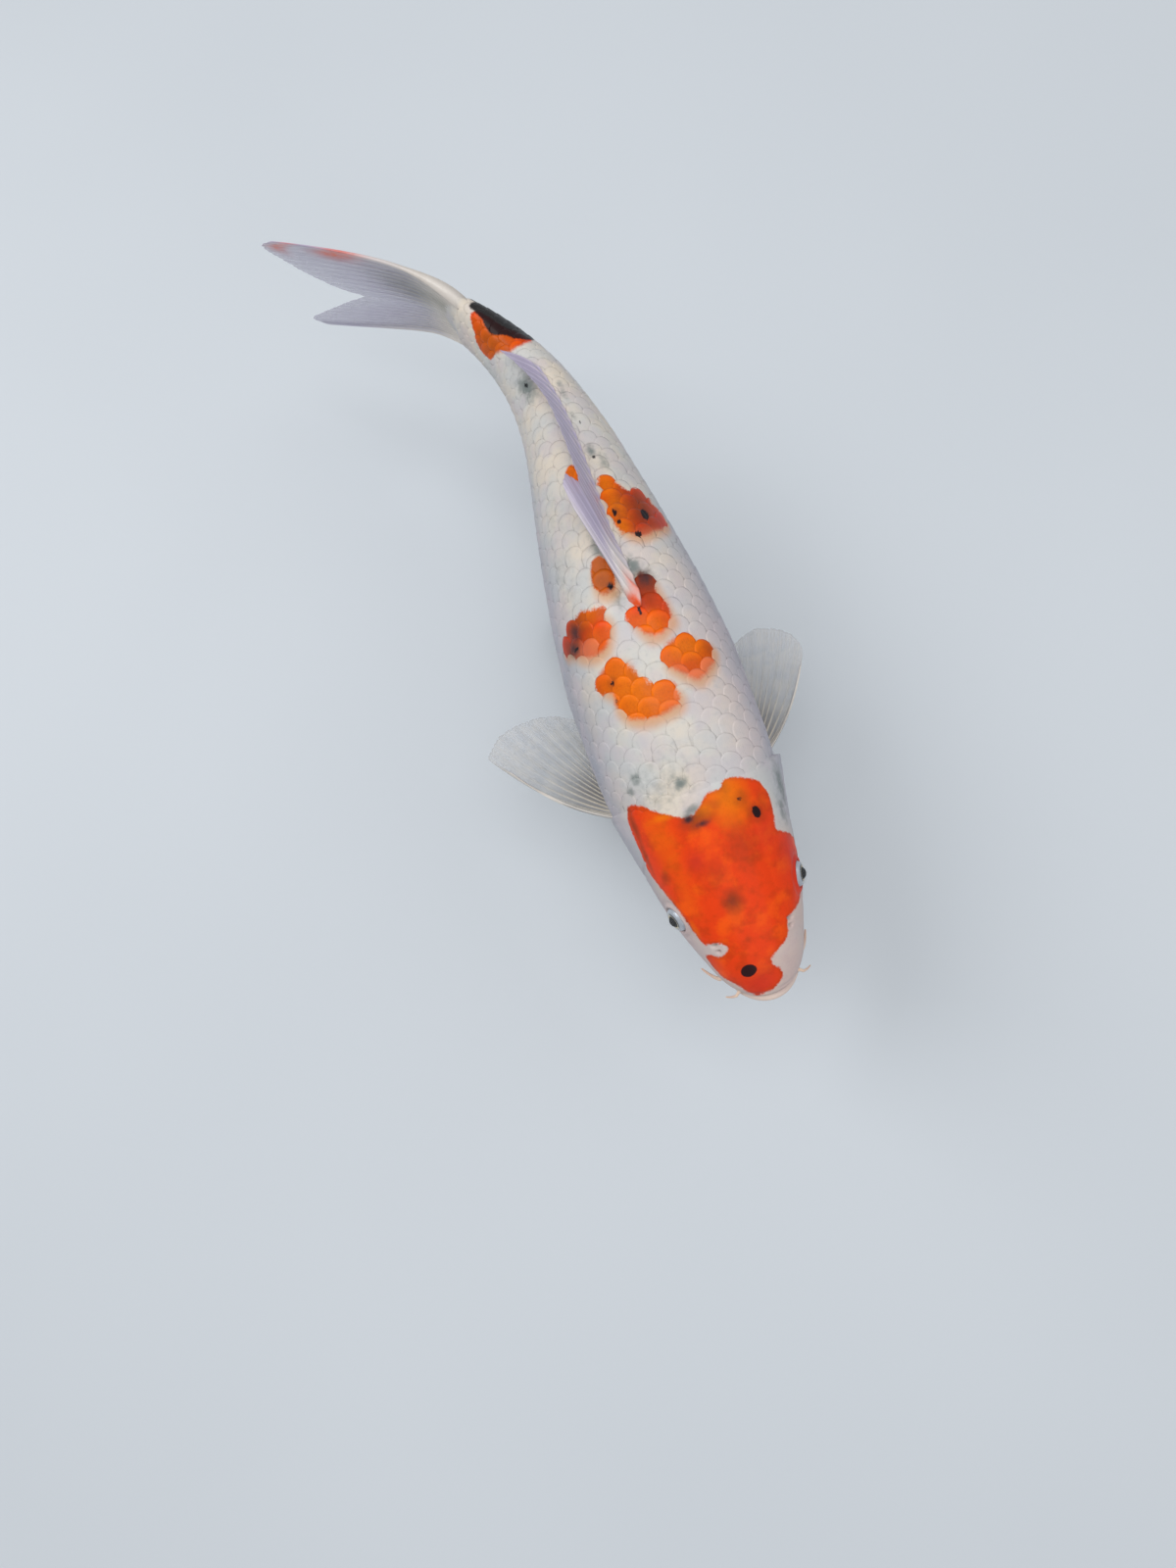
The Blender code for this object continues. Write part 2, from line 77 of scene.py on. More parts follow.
EYE_AT = (0.131, 20.0)
EYE_RADIUS = 6.8  # millimetres
EYE_STANDS_OUT = 3.8
GILL_COVER = {"middle": 0.215, "half_length": 0.060, "angle": -10.0, "half_angle": 52.0}
GILL_FLARE = {SIDES["left"]: 3.0, SIDES["right"]: 1.4}  # millimetres
MOUTH_SLOPE = math.radians(14.0)
MOUTH_AT = -0.0160

DORSAL = {"along": (0.478, 0.850), "root_angle": (88.5, 85.0), "sweep": (24.0, 18.0)}
DORSAL_CURL = (0.60, 0.30)
# Along the fin: share, length of the ray, its lean and its curl to the right side.
DORSAL_RAYS = (
    (0.00, 0.126, 36.0, 0.1), (0.04, 0.140, 35.0, 0.1), (0.10, 0.130, 32.0, 0.1),
    (0.20, 0.087, 26.0, 0.1), (0.40, 0.070, 33.0, 0.1), (0.60, 0.057, 41.0, 0.5),
    (0.80, 0.047, 56.0, 1.6), (1.00, 0.046, 80.0, 3.6),
)
ANAL = {"along": (0.775, 0.858), "sweep": (44.0, 30.0), "lean_left": 0.15}
ANAL_HEIGHTS = ((0.0, 0.118), (0.15, 0.130), (0.4, 0.105), (1.0, 0.060))

# A paired fin: the place and the degrees of its root, then along the fan from the leading
# ray to the last: share, length, degrees outwards and downwards.
PAIRED = {
    ("pectoral", "right"): ((0.283, 0.312), (-42.0, -52.0), (
        (0.00, 0.165, 66.0, 3.0), (0.12, 0.204, 64.0, 4.0), (0.28, 0.200, 52.0, 6.0),
        (0.50, 0.186, 38.0, 8.0), (0.75, 0.168, 25.0, 10.0), (1.00, 0.135, 13.0, 12.0),
    )),
    ("pectoral", "left"): ((0.286, 0.314), (-42.0, -52.0), (
        (0.00, 0.152, 62.0, 9.0), (0.12, 0.176, 60.0, 10.0), (0.28, 0.194, 46.0, 12.0),
        (0.50, 0.196, 32.0, 14.0), (0.75, 0.178, 21.0, 16.0), (1.00, 0.150, 14.0, 18.0),
    )),
    ("pelvic", "left"): ((0.470, 0.498), (-71.0, -78.0), (
        (0.00, 0.115, 18.0, 25.0), (0.20, 0.138, 13.0, 24.0), (0.50, 0.134, 6.0, 22.0),
        (0.80, 0.118, 0.0, 20.0), (1.00, 0.092, -6.0, 19.0),
    )),
}
PAIRED["pelvic", "right"] = PAIRED["pelvic", "left"]
FAN_CURL = (0.36, 0.17)

TAIL_FORK = 0.168
TAIL_UPPER = {"length": 0.264, "tip": 0.164, "spread": 0.80, "fullness": 0.42, "twist": 0.27}
TAIL_LOWER = {"length": 0.314, "tip": 0.150, "spread": 1.15, "fullness": 0.90, "twist": 0.16}
TAIL_SAG = 0.012
TAIL_DROOP = 0.010
TAIL_ROOT = 0.050

# Place and degrees of the root, length, the way it points (back, out, down), and radius.
BARBELS = {
    "corner": (0.046, -24.0, 0.046, (0.25, 0.40, 0.85), 1.0 * MM),
    "upper": (0.022, -4.0, 0.022, (-0.10, 0.60, 0.70), 0.7 * MM),
}

# ---- numbers


def cubic(xs, ys, at):
    """A monotone cubic through the points xs, ys, read at an array of places."""
    at = np.clip(at, xs[0], xs[-1])
    steps = np.diff(xs)
    slopes = np.diff(ys) / steps
    before, after = slopes[:-1], slopes[1:]
    total = np.where(before + after == 0, 1.0, before + after)
    inner = np.where(before * after <= 0, 0.0, 2 * before * after / total)
    tangents = np.concatenate([slopes[:1], inner, slopes[-1:]])
    i = np.clip(np.searchsorted(xs, at, side="right") - 1, 0, len(xs) - 2)
    step = steps[i]
    t = (at - xs[i]) / step
    ends = ys[i] * (1 + 2 * t) * (1 - t) ** 2 + ys[i + 1] * t * t * (3 - 2 * t)
    return ends + step * t * (1 - t) * (tangents[i] * (1 - t) - tangents[i + 1] * t)


def smooth(table, column, at):
    rows = np.array(table)
    return cubic(rows[:, 0], rows[:, column], at)


def between(pair, share):
    """From the first of a pair to the second."""
    return pair[0] + (pair[1] - pair[0]) * share


def ramp(low, high, x):
    """0 below low, 1 above high, and a smooth step between them."""
    t = np.clip((x - low) / (high - low), 0.0, 1.0)
    return t * t * (3 - 2 * t)


def hump(x, width):
    """1 at 0, and fading out over the width on both sides."""
    return np.exp(-((x / width) ** 2))


def half_turn(degrees):
    """The same angle, from -180 to 180."""
    return (degrees + 180.0) % 360.0 - 180.0


def running(steps):
    """The running total, from 0."""
    return np.concatenate([[0.0], np.cumsum(steps)])


def fall(x, end):
    """1 at 0, and straight down to 0 at the end."""
    return np.maximum(0.0, 1 - x / end)


def unit(vectors):
    return vectors / np.maximum(np.linalg.norm(vectors, axis=-1, keepdims=True), 1e-12)


# ---- the body's shape


def traced_spine(steps=1400, end=1.4):
    places = np.linspace(0.0, end, steps + 1)
    headings = np.radians(smooth(BEND, 1, places))
    middle = (headings[1:] + headings[:-1]) / 2
    length = LENGTH * end / steps
    return places, running(-np.sin(middle) * length), running(np.cos(middle) * length), headings


SPINE = traced_spine()


def spine(place):
    """Points of the spine, the directions of the tail there, and those of the left side."""
    x, y, heading = (np.interp(place, SPINE[0], line) for line in SPINE[1:])
    flat = np.zeros_like(heading)
    tailward = np.stack([-np.sin(heading), np.cos(heading), flat], -1)
    left = np.stack([np.cos(heading), np.sin(heading), flat], -1)
    return SNOUT_AT + np.stack([x, y, flat], -1), tailward, left


def skin(place, degrees):
    """Points of the body's surface: 0 is the left side, 90 the back, 270 the belly."""
    place, degrees = np.broadcast_arrays(np.asarray(place, float), np.asarray(degrees, float))
    centre, _, left = spine(place)
    rows = np.array(STATIONS)
    width, rise, drop = (
        np.sqrt(np.maximum(cubic(rows[:, 0], rows[:, c] ** 2, place), 0.0)) for c in (1, 2, 3)
    )
    width = width * (1 - 0.95 * np.clip((place - 1.0) / STALK_TAPER, 0.0, 1.0) ** 0.8)
    power = 2 / smooth(STATIONS, 5, place)
    c, s = np.cos(np.radians(degrees)), np.sin(np.radians(degrees))
    across = np.sign(c) * np.abs(c) ** power * width
    up = np.sign(s) * np.abs(s) ** power * np.where(s > 0, rise, drop)
    up = up + smooth(STATIONS, 4, place)
    return centre + LENGTH * (left * across[..., None] + UP * up[..., None])


def skin_normal(place, degrees):
    along = skin(place + 0.002, degrees) - skin(np.maximum(place - 0.002, 1e-4), degrees)
    around = skin(place, degrees + 1.5) - skin(place, degrees - 1.5)
    return unit(np.cross(along, around))


def side_angle(degrees, side):
    """The same angle on the left side (1) or on the right side (-1)."""
    return degrees if side > 0 else 180.0 - degrees


class Girth:
    """Turns a distance over the skin from the back's middle into an angle, and back."""

    rows, columns = 420, 181

    def __init__(self):
        self.places = np.linspace(0.0005, 1.0 + STALK_TAPER, self.rows)
        turns = np.linspace(0.0, 180.0, self.columns)  # from the back down the left side
        points = skin(self.places[:, None], 90.0 - turns[None, :])
        lengths = np.linalg.norm(np.diff(points, axis=1), axis=2) / LENGTH
        self.arcs = np.pad(np.cumsum(lengths, axis=1), ((0, 0), (1, 0)))
        shares = np.linspace(0.0, 1.0, self.columns)
        self.by_share = np.array([np.interp(shares, row / row[-1], turns) for row in self.arcs])

    def read(self, table, place, column):
        """The table between its rows and columns."""
        row = np.interp(place, self.places, np.arange(self.rows))
        i = np.minimum(row.astype(int), self.rows - 2)
        j = np.clip(column.astype(int), 0, self.columns - 2)
        a, b = row - i, np.clip(column - j, 0.0, 1.0)
        top = table[i, j] * (1 - b) + table[i, j + 1] * b
        return top * (1 - a) + (table[i + 1, j] * (1 - b) + table[i + 1, j + 1] * b) * a

    def half(self, place):
        """From the back round to the belly."""
        return np.interp(place, self.places, self.arcs[:, -1])

    def degrees(self, place, across):
        """The angle of a point that lies the given distance across from the back."""
        share = np.minimum(np.abs(across) / self.half(place), 1.0)
        return 90.0 - np.sign(across) * self.read(self.by_share, place, share * 180.0)

    def across(self, place, degrees):
        turn = half_turn(90.0 - degrees)
        return np.sign(turn) * self.read(self.arcs, place, np.abs(turn))


GIRTH = Girth()

# ---- meshes


def grid_faces(rows, columns, wrap=False, offset=0, flip=False):
    """Quads of a grid of points, row by row. wrap joins the last column to the first."""
    i, j = np.meshgrid(np.arange(rows - 1), np.arange(columns - (not wrap)), indexing="ij")
    here, after = i * columns + j, i * columns + (j + 1) % columns
    quads = np.stack([here, after, after + columns, here + columns], axis=-1).reshape(-1, 4)
    return (quads[:, ::-1] if flip else quads) + offset


def plate_faces(rows, columns, flip=False):
    """Quads of a closed plate: a grid of points, the same grid behind it, and the rim."""
    each = rows * columns
    border = np.concatenate([
        np.arange(columns), np.arange(2 * columns - 1, each, columns),
        np.arange(each - 2, each - columns - 1, -1), np.arange(each - 2 * columns, 0, -columns),
    ])
    after = np.roll(border, -1)
    front, back = grid_faces(rows, columns), grid_faces(rows, columns, offset=each, flip=True)
    rim = np.stack([border, border + each, after + each, after], axis=1)
    quads = np.concatenate([front, back, rim])
    return quads[:, ::-1] if flip else quads


def put_in_scene(name, data):
    obj = bpy.data.objects.new(name, data)
    bpy.context.scene.collection.objects.link(obj)
    return obj


def make_mesh(name, points, faces, floats=None, uvs=None):
    """A mesh object from arrays. faces is a list of arrays of triangles or quads."""
    mesh = bpy.data.meshes.new(name)
    points = np.ascontiguousarray(points.reshape(-1, 3), np.float32)
    loops = np.concatenate([part.ravel() for part in faces]).astype(np.int32)
    sizes = np.concatenate([np.full(len(part), part.shape[1]) for part in faces])
    starts = running(sizes[:-1]).astype(np.int32)
    mesh.vertices.add(len(points))
    mesh.vertices.foreach_set("co", points.ravel())
    mesh.loops.add(len(loops))
    mesh.loops.foreach_set("vertex_index", loops)
    mesh.polygons.add(len(sizes))
    mesh.polygons.foreach_set("loop_start", starts)
    mesh.update(calc_edges=True)
    for key, values in (floats or {}).items():
        made = mesh.attributes.new(key, "FLOAT", "POINT")
        made.data.foreach_set("value", np.asarray(values, np.float32).ravel())
    if uvs is not None:
        layer = mesh.uv_layers.new(name="OFBake")
        layer.data.foreach_set("uv", uvs.reshape(-1, 2)[loops].astype(np.float32).ravel())
    mesh.shade_smooth()
    return put_in_scene(name, mesh)


def tube(name, rings, floats, flip=False):
    """A closed mesh from rings of points, with a tip in the middle of both end rings."""
    rows, columns = rings.shape[:2]
    faces = [grid_faces(rows, columns, wrap=True, flip=flip)]
    for row, tip in ((0, rows * columns), (rows - 1, rows * columns + 1)):
        ring = row * columns + np.arange(columns)
        fan = np.stack([ring, np.roll(ring, -1), np.full(columns, tip)], 1)
        faces.append(fan if (row == 0) == flip else fan[:, ::-1])
    with_tips = {}
    for key, values in floats.items():
        values = np.broadcast_to(values, (rows, columns))
        with_tips[key] = np.append(values, values[[0, -1]].mean(1))
    points = np.concatenate([rings.reshape(-1, 3), rings[[0, -1]].mean(1)])
    return make_mesh(name, points, faces, with_tips)


def place_piece(obj, material, slot, *nodes):
    """The piece's finish, the body it rides on, and the solids that it stands for."""
    obj.data.materials.append(material)
    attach(obj, "root")
    if nodes:
        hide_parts(*nodes)


# ---- the markings

# Outlines of the coloured patches on the body's map, as place and across in thousandths.
HEAD_PATCH = (
    (273, -100), (268, -79), (256, -64), (244, -46), (235, -32), (233, -20), (239, -8), (250, 7),
    (250, 22), (258, 30), (257, 44), (252, 58), (245, 73), (228, 82), (204, 80), (187, 76),
    (181, 97), (169, 128), (148, 125), (121, 111), (97, 73), (85, 49), (64, 37), (50, 13),
    (41, 10), (30, 17), (20, 15), (12, 3), (8, -22), (17, -34), (34, -47), (52, -67), (74, -76),
    (78, -64), (70, -50), (76, -36), (86, -43), (91, -65), (107, -72), (135, -80), (163, -95),
    (196, -113), (225, -111), (256, -109),
)
BACK_PATCHES = {
    "shoulder": (
        (430, -50), (434, -41), (429, -29), (416, -26), (401, -20), (388, -18), (384, -6),
        (385, 10), (371, 20), (356, 14), (352, -6), (352, -26), (361, -48), (380, -61),
        (394, -60), (402, -67), (414, -75), (427, -65),
    ),
    "right flank": (
        (505, -62), (497, -53), (494, -38), (480, -29), (463, -35), (449, -47), (447, -66),
        (455, -87), (467, -102), (474, -122), (485, -126), (490, -110), (499, -97), (500, -80),
    ),
    "left flank": (
        (424, 20), (431, 33), (432, 43), (437, 53), (429, 62), (421, 67), (424, 78), (414, 87),
        (396, 77), (383, 59), (377, 44), (388, 28), (405, 14),
    ),
    "fin front": (
        (523, 19), (514, 33), (498, 39), (478, 42), (456, 44), (447, 32), (440, 20), (442, 6),
        (458, -4), (478, -6), (492, 4),
    ),
    "beside fin": (
        (556, -18), (546, -10), (527, -8), (511, -13), (508, -26), (520, -36), (540, -34),
        (553, -27),
    ),
    "behind fin": (
        (658, 21), (652, 33), (637, 45), (634, 62), (636, 77), (629, 86), (619, 86), (613, 103),
        (602, 113), (584, 96), (573, 66), (566, 40), (576, 22), (604, 14), (635, 13),
    ),
    "fin side": (
        (688, -12), (678, -4), (660, -5), (658, -18), (680, -22),
    ),
    "tail root": (
        (980, -6), (966, 4), (930, 10), (899, 30), (893, 18), (897, -10), (914, -26), (921, -42),
        (938, -46), (953, -40), (968, -22),
    ),
}
TAIL_ROOT_BLACK = (
    (988, 5), (985, 45), (955, 64), (920, 58), (899, 34), (905, 11), (920, 2), (936, -9),
    (948, -8), (962, -2), (976, 0),
)

# Tints and spots: place, across, half length and half width in millimetres, strength.
TINTS = {
    "amber": (
        (241, 26, 12, 9, 1), (234, -5, 4, 7, 1), (218, -64, 20, 8, 0.35), (160, -60, 18, 7, 0.25),
        (244, -48, 2, 10, 0.9), (110, -72, 5, 3, 0.5), (390, -30, 26, 24, 1), (418, 45, 9, 16, 1),
        (393, 50, 7, 12, 0.6), (532, -22, 19, 9, 1), (497, -55, 6, 10, 0.75),
        (462, -60, 7, 6, 0.6), (452, 14, 7, 9, 0.7), (645, 20, 12, 6, 1), (582, 21, 8, 5, 1),
        (612, 23, 12, 6, 1), (676, -13, 8, 6, 0.9), (930, -20, 16, 12, 0.8),
    ),
    "crimson": (
        (140, 95, 14, 9, 1), (172, 101, 7, 7, 0.6), (474, -112, 8, 8, 0.9), (186, 56, 7, 7, 0.45),
        (592, 94, 8, 7, 1), (21, -15, 7, 9, 0.65), (182, -35, 4, 4, 0.55), (390, 41, 4, 9, 0.4),
        (458, -80, 5, 9, 0.4), (70, -64, 5, 4, 0.45),
    ),
    "umber": (
        (250, -101, 12, 2, 0.75), (214, -103, 9, 1.8, 0.65), (181, 23, 13, 7, 0.4),
        (125, -9, 5, 4.5, 0.9), (164, -19, 7, 7, 0.3), (148, 124, 8, 1.5, 0.55),
        (78, -8, 2, 2, 0.3), (179, -81, 3, 3, 0.55), (146, -88, 4, 2, 0.6),
        (119, -76, 4, 1.6, 0.45), (212, 55, 5, 5, 0.55), (509, 26, 11, 9, 1),
        (478, 36, 7, 5, 0.35), (606, 58, 14, 11, 0.9), (486, -86, 8, 9, 0.95),
        (470, -100, 8, 10, 0.95), (530, -22, 14, 8, 0.65), (408, -55, 3, 3, 0.45),
        (413, 76, 5, 4, 0.4), (402, -30, 5, 3, 0.2), (920, -10, 8, 4, 0.5),
        (932, -24, 15, 11, 0.58), (227, -17, 4, 7, 0.8), (236, 8, 3, 6, 0.35),
        (247, 26, 8, 5, 0.3), (232, 42, 4, 5, 0.45), (222, 66, 6, 3, 0.35),
    ),
    "soot": (
        (230, -25, 2.4, 3.2, 1), (220, -12, 1.8, 4.4, 0.9), (125, -11, 3.4, 3, 0.45),
        (212, 55, 4, 3.6, 0.45), (514, -17, 3, 2.6, 0.8), (500, -14, 8, 3, 0.45),
        (511, 25, 6.5, 6, 0.85), (486, -86, 5.4, 4.6, 0.85), (470, -98, 5, 6, 0.85),
        (597, 58, 6, 5, 0.6), (604, 20, 6, 3, 0.6), (572, 40, 4, 5, 0.5), (622, 34, 9, 2.5, 0.35),
        (617, 66, 4, 6, 0.35), (590, 80, 6, 5, 0.35),
    ),
    # grey smudges, partly real grey marks and partly painted shade: those beside the dorsal fin's
    # root and on the left gill cover are painted shadow
    "smudge_and_shade": (
        (271, -19, 3.6, 4.2, 1), (279, -27, 3, 3, 0.8), (297, -70, 3.6, 3.6, 0.9),
        (286, -83, 3.4, 3.4, 0.8), (272, -61, 2.2, 2.2, 0.8), (238, -18, 3, 5, 0.9),
        (276, -40, 18, 24, 0.48), (529, 16, 6, 5, 1), (562, -16, 16, 4, 0.8),
        (500, -14, 10, 5, 0.65), (797, 16, 6, 2.5, 0.8), (812, 18, 4, 2.5, 0.7),
        (700, 18, 5, 3, 0.9), (682, 30, 8, 4, 0.7), (760, 14, 4, 2, 0.7), (837, -23, 11, 7, 1),
        (850, -26, 12, 9, 0.45), (470, -130, 8, 7, 0.45), (238, 121, 13, 6, 0.9),
        (208, 104, 9, 5, 0.8), (330, -120, 10, 8, 0.3), (400, 140, 18, 10, 0.3),
        (560, -80, 26, 16, 0.4), (640, -60, 20, 14, 0.36), (330, 60, 14, 18, 0.2),
        (455, 100, 20, 12, 0.25), (560, 110, 18, 10, 0.25),
    ),
}
SPOTS = (
    (43, -21, 2.6, 3.6, 1), (212, 55, 2.5, 1.9, 0.9), (232, 40, 1.1, 1.3, 0.5),
    (407, -55, 1.1, 0.8, 0.95), (597, 60, 2.7, 2.2, 1), (569, 38, 1.6, 1.4, 1),
    (604, 18, 2.2, 0.9, 0.8), (590, 20, 1.2, 1, 0.7), (514, -17, 1.6, 1.2, 0.75),
    (475, 5, 2.6, 0.7, 0.9), (468, -93, 1, 2, 0.85), (747, 19, 1.3, 0.7, 0.6),
    (387, -58, 0.8, 1.1, 0.5), (690, 19, 1.6, 0.9, 0.6), (839, -22, 1.6, 1, 0.6),
    (995, 20, 2, 1.6, 0.6),
)
FADED_FRONTS = ((450, -70, 8, 14), (385, 48, 12, 22), (560, 70, 6, 18))


def rounded_outline(corners, pieces=5):
    """The corners joined by a closed smooth curve."""
    c = np.array(corners) / 1000
    t = (np.arange(pieces) / pieces)[None, :, None]
    a, b, d, e = (np.roll(c, k, axis=0)[:, None, :] for k in (1, 0, -1, -2))
    square, cube = (2 * a - 5 * b + 4 * d - e) * t ** 2, (3 * b - a - 3 * d + e) * t ** 3
    return 0.5 * (2 * b + (d - a) * t + square + cube).reshape(-1, 2)


def inside_by(outline, place, across, reach=9.0):
    """Millimetres that a point lies inside the outline, or outside it where negative."""
    points = np.stack([place, across], -1).reshape(-1, 2)
    line = rounded_outline(outline)
    margin = reach * MM / LENGTH
    low, high = line.min(0) - margin, line.max(0) + margin
    near = np.flatnonzero(((points > low) & (points < high)).all(1))
    best, odd = np.full(len(near), np.inf), np.zeros(len(near), bool)
    p = points[near]
    for start, end in zip(line, np.roll(line, -1, axis=0)):
        span = end - start
        share = np.clip(((p - start) @ span) / (span @ span), 0, 1)
        best = np.minimum(best, ((p - start - share[:, None] * span) ** 2).sum(1))
        crosses = (start[1] > p[:, 1]) != (end[1] > p[:, 1])
        rise = span[1] or 1e-12
        odd ^= crosses & (p[:, 0] < span[0] * (p[:, 1] - start[1]) / rise + start[0])
    far = np.sqrt(best) * LENGTH / MM
    out = np.full(len(points), -reach)
    out[near] = np.maximum(np.where(odd, far, -far), -reach)
    return out.reshape(place.shape)


def blot(place, across, spot):
    """How far a point is from a spot's middle: 1 on its edge."""
    away = (place - spot[0] / 1000) / spot[2], (across - spot[1] / 1000) / spot[3]
    return np.hypot(*away) * LENGTH / MM


def patch_map(place, across):
    """Millimetres inside the nearest patch of the back."""
    return np.max([inside_by(line, place, across) for line in BACK_PATCHES.values()], axis=0)


ONE_COLOUR = 0.55  # how far a scale takes the colour of its middle
ROW_STEP = 6.5 * MM / LENGTH  # from one scale to the next
VEIL_REACH = 3.2 * MM / LENGTH
ROOT_FROM = 0.88  # behind it the markings are not drawn scale by scale


def pigments(place, across, centre=None):
    """Every pigment, and the painted shade along the flanks, at points of the body's map, as
    arrays.

    centre is the middle of the scale that each point is on. A scale mostly takes one
    colour, so a patch ends at the rear edges of its scales, and towards the head it fades
    out under the scales in front.
    """
    back, front, soft = patch_map(place, across), 0.0, 0.0
    if centre is not None:
        own = patch_map(*centre)
        deeper, ahead = (patch_map(centre[0] + way * ROW_STEP, centre[1]) for way in (1, -1))
        soft = ramp(0.0, 4.0, deeper - own) * ramp(7.0, 4.0, own)
        ovals = [inside_by(BACK_PATCHES[key], place, across) for key in ("beside fin", "fin side")]
        scaled = (place < ROOT_FROM) & (np.max(ovals, axis=0) < -4.0)
        share = np.where(scaled, ONE_COLOUR * (1 - 0.8 * soft), 0.0)
        back = (1 - share) * back + share * own
        faded = [np.exp(-blot(place, across, spot) ** 4) for spot in FADED_FRONTS]
        front = ramp(1.5, -3.0, ahead) * np.max(faded, axis=0)
    under = patch_map(place + VEIL_REACH, across)
    off = np.abs(across)
    out = {
        "patch": np.clip(np.maximum(inside_by(HEAD_PATCH, place, across), back), -6.0, 6.0),
        "veil": 0.6 * ramp(-3.4, 1.8, under) * (place < 0.87),
        "front": np.broadcast_to(front, place.shape), "soft": np.broadcast_to(soft, place.shape),
        "sumi": ramp(-2.6, 2.2, inside_by(TAIL_ROOT_BLACK, place, across)),
        "blush": ramp(0.0, 0.11, across) * ramp(0.24, 0.3, place) * ramp(0.62, 0.45, place),
        # painted shade: a lilac grey band along both flanks, which fades out again before the
        # belly
        "shadow": ramp(0.03, 0.15, off) * ramp(0.3, 0.18, off),
        "face": ramp(0.22, 0.12, place),
    }
    for spot in SPOTS:
        ink = spot[4] * ramp(1.25, 0.75, blot(place, across, spot))
        out["sumi"] = np.maximum(out["sumi"], ink)
    for name, spots in TINTS.items():
        out[name] = np.max([s[4] * hump(blot(place, across, s), 1.0) for s in spots], axis=0)
    return out


# ---- the skin

SCALES_FROM = 0.262  # the nape, where the scales begin
COAT_DEPTH = 0.55  # millimetres that the skin lies inside the coat
SKIN_ROWS = (205, 84, 39)  # head, trunk and tail stalk
SKIN_ENDS = (0.0006, 0.28, 0.88, 1.0 + STALK_TAPER)  # where those parts begin and end
SKIN_COLUMNS = 300


def scales_start(degrees):
    """Where the scales begin, from the nape round the gill covers to the breast."""
    turn = np.abs(half_turn(degrees - 90.0))
    beside = GILL_COVER["middle"] + GILL_COVER["half_length"] + 0.01
    under = 0.03 * ramp(120.0, 165.0, turn)
    return between((SCALES_FROM, beside), ramp(35.0, 75.0, turn)) + under


class Spot:
    """A place on the skin with its own axes: x towards the tail and y upwards, in mm."""

    def __init__(self, place, degrees, side):
        at, turn = np.array(place), np.array(side_angle(degrees, side))
        self.centre, self.normal = skin(at, turn), skin_normal(at, turn)
        along = skin(at + 0.004, turn) - skin(at - 0.004, turn)
        self.x_axis = unit(along - self.normal * (along @ self.normal))
        y_axis = np.cross(self.normal, self.x_axis)
        self.y_axis = y_axis * np.sign(y_axis[2])

    def read(self, points):
        away = (points - self.centre) / MM
        return away @ self.x_axis, away @ self.y_axis, np.linalg.norm(away, axis=-1)


def gill_relief(place, degrees, side):
    """The raised cover with its soft rim, the slit behind it, and the bones that show."""
    turn = half_turn(side_angle(degrees, side))
    y = (turn - GILL_COVER["angle"]) / GILL_COVER["half_angle"]
    x = (place - GILL_COVER["middle"] - 0.012 * y) / GILL_COVER["half_length"]
    x = np.where(x < 0, x / 0.86, x)
    q = (np.abs(x) ** 2.5 + np.abs(y) ** 2.5) ** 0.4  # 1 on the cover's outline
    reach = GILL_COVER["half_length"] * LENGTH / MM
    outside = (q - 1.0) * reach
    lift = GILL_FLARE[side] * np.maximum(0.0, 0.35 + 0.65 * x) ** 2 * ramp(1.0, 0.55, y)
    slit = -2.1 * ramp(-0.25, 0.45, outside) * ramp(4.5, 0.6, outside)
    furrow = -0.28 * hump(outside + 3.2, 0.7) - 0.18 * ramp(-3.2, 0.0, outside)
    behind = ramp(-0.55, 0.05, x) * ramp(0.8, 0.45, y)
    preopercle = -0.55 * hump((x + 0.42 - 0.22 * y * y) * reach, 0.9) * ramp(0.95, 0.75, np.abs(y))
    subopercle = -0.35 * hump((y + 0.52 - 0.12 * x) * 34.0, 0.9) * ramp(-0.45, -0.2, x)
    fan = np.arctan2(y - 0.75, x + 0.45)
    striae = 0.055 * np.sin(fan * 46.0) * ramp(-0.35, 0.0, x) * ramp(-0.45, -0.2, y)
    bones = ramp(1.0, 0.9, q) * (preopercle + subopercle + striae)
    return lift * ramp(0.35, -0.35, outside) + behind * (slit + furrow) + bones


def eye_relief(points, side):
    """The socket, its rim, the furrow round it, the brow and the pores of the head canals."""
    x, y, r = Spot(*EYE_AT, side).read(points)
    ring = np.hypot(x / 1.06, y)
    relief = 0.5 * hump(ring - 6.4, 0.9) - 0.38 * hump(ring - 8.4, 1.0)
    relief -= 4.6 * ramp(5.95, 5.15, ring) * (r < 12)
    relief += 0.8 * hump(y - 8.2, 2.6) * hump(x, 8.5)
    relief -= 0.3 * hump(ring - 13.0, 0.9) * ramp(1.0, -4.0, y)
    for turn in np.radians(np.arange(15, 360, 23)):
        far = 10.8 if math.sin(turn) > 0 else 15.5
        hole = np.hypot(x - far * math.cos(turn), y - far * math.sin(turn))
        relief -= 0.3 * hump(hole, 0.4)
    return ramp(24.0, 18.0, r) * relief


NOSTRIL_AT = (0.081, 0.05)  # place, and across on either side


def nostril_relief(points, side):
    """A round front opening, a flap, and a crescent opening behind it."""
    place, across = map(np.array, NOSTRIL_AT)
    x, y, r = Spot(place, GIRTH.degrees(place, across), side).read(points)
    front = -1.5 * hump(x + 1.7, 0.75) * hump(y, 0.85)
    rear = -1.6 * hump(x - 1.35 - 0.18 * y * y, 0.75) * hump(y, 1.5)
    flap = 0.5 * hump(x + 0.25, 0.5) * hump(y, 1.2)
    rim = 0.14 * hump(np.hypot(x / 1.25, y) - 2.9, 0.7)
    return ramp(9.0, 6.0, r) * (front + rear + flap + rim)


MOUTH_CORNER = 14.0  # millimetres back from the snout
SNOUT_SINKS = 1.2  # millimetres, which the lips make up for


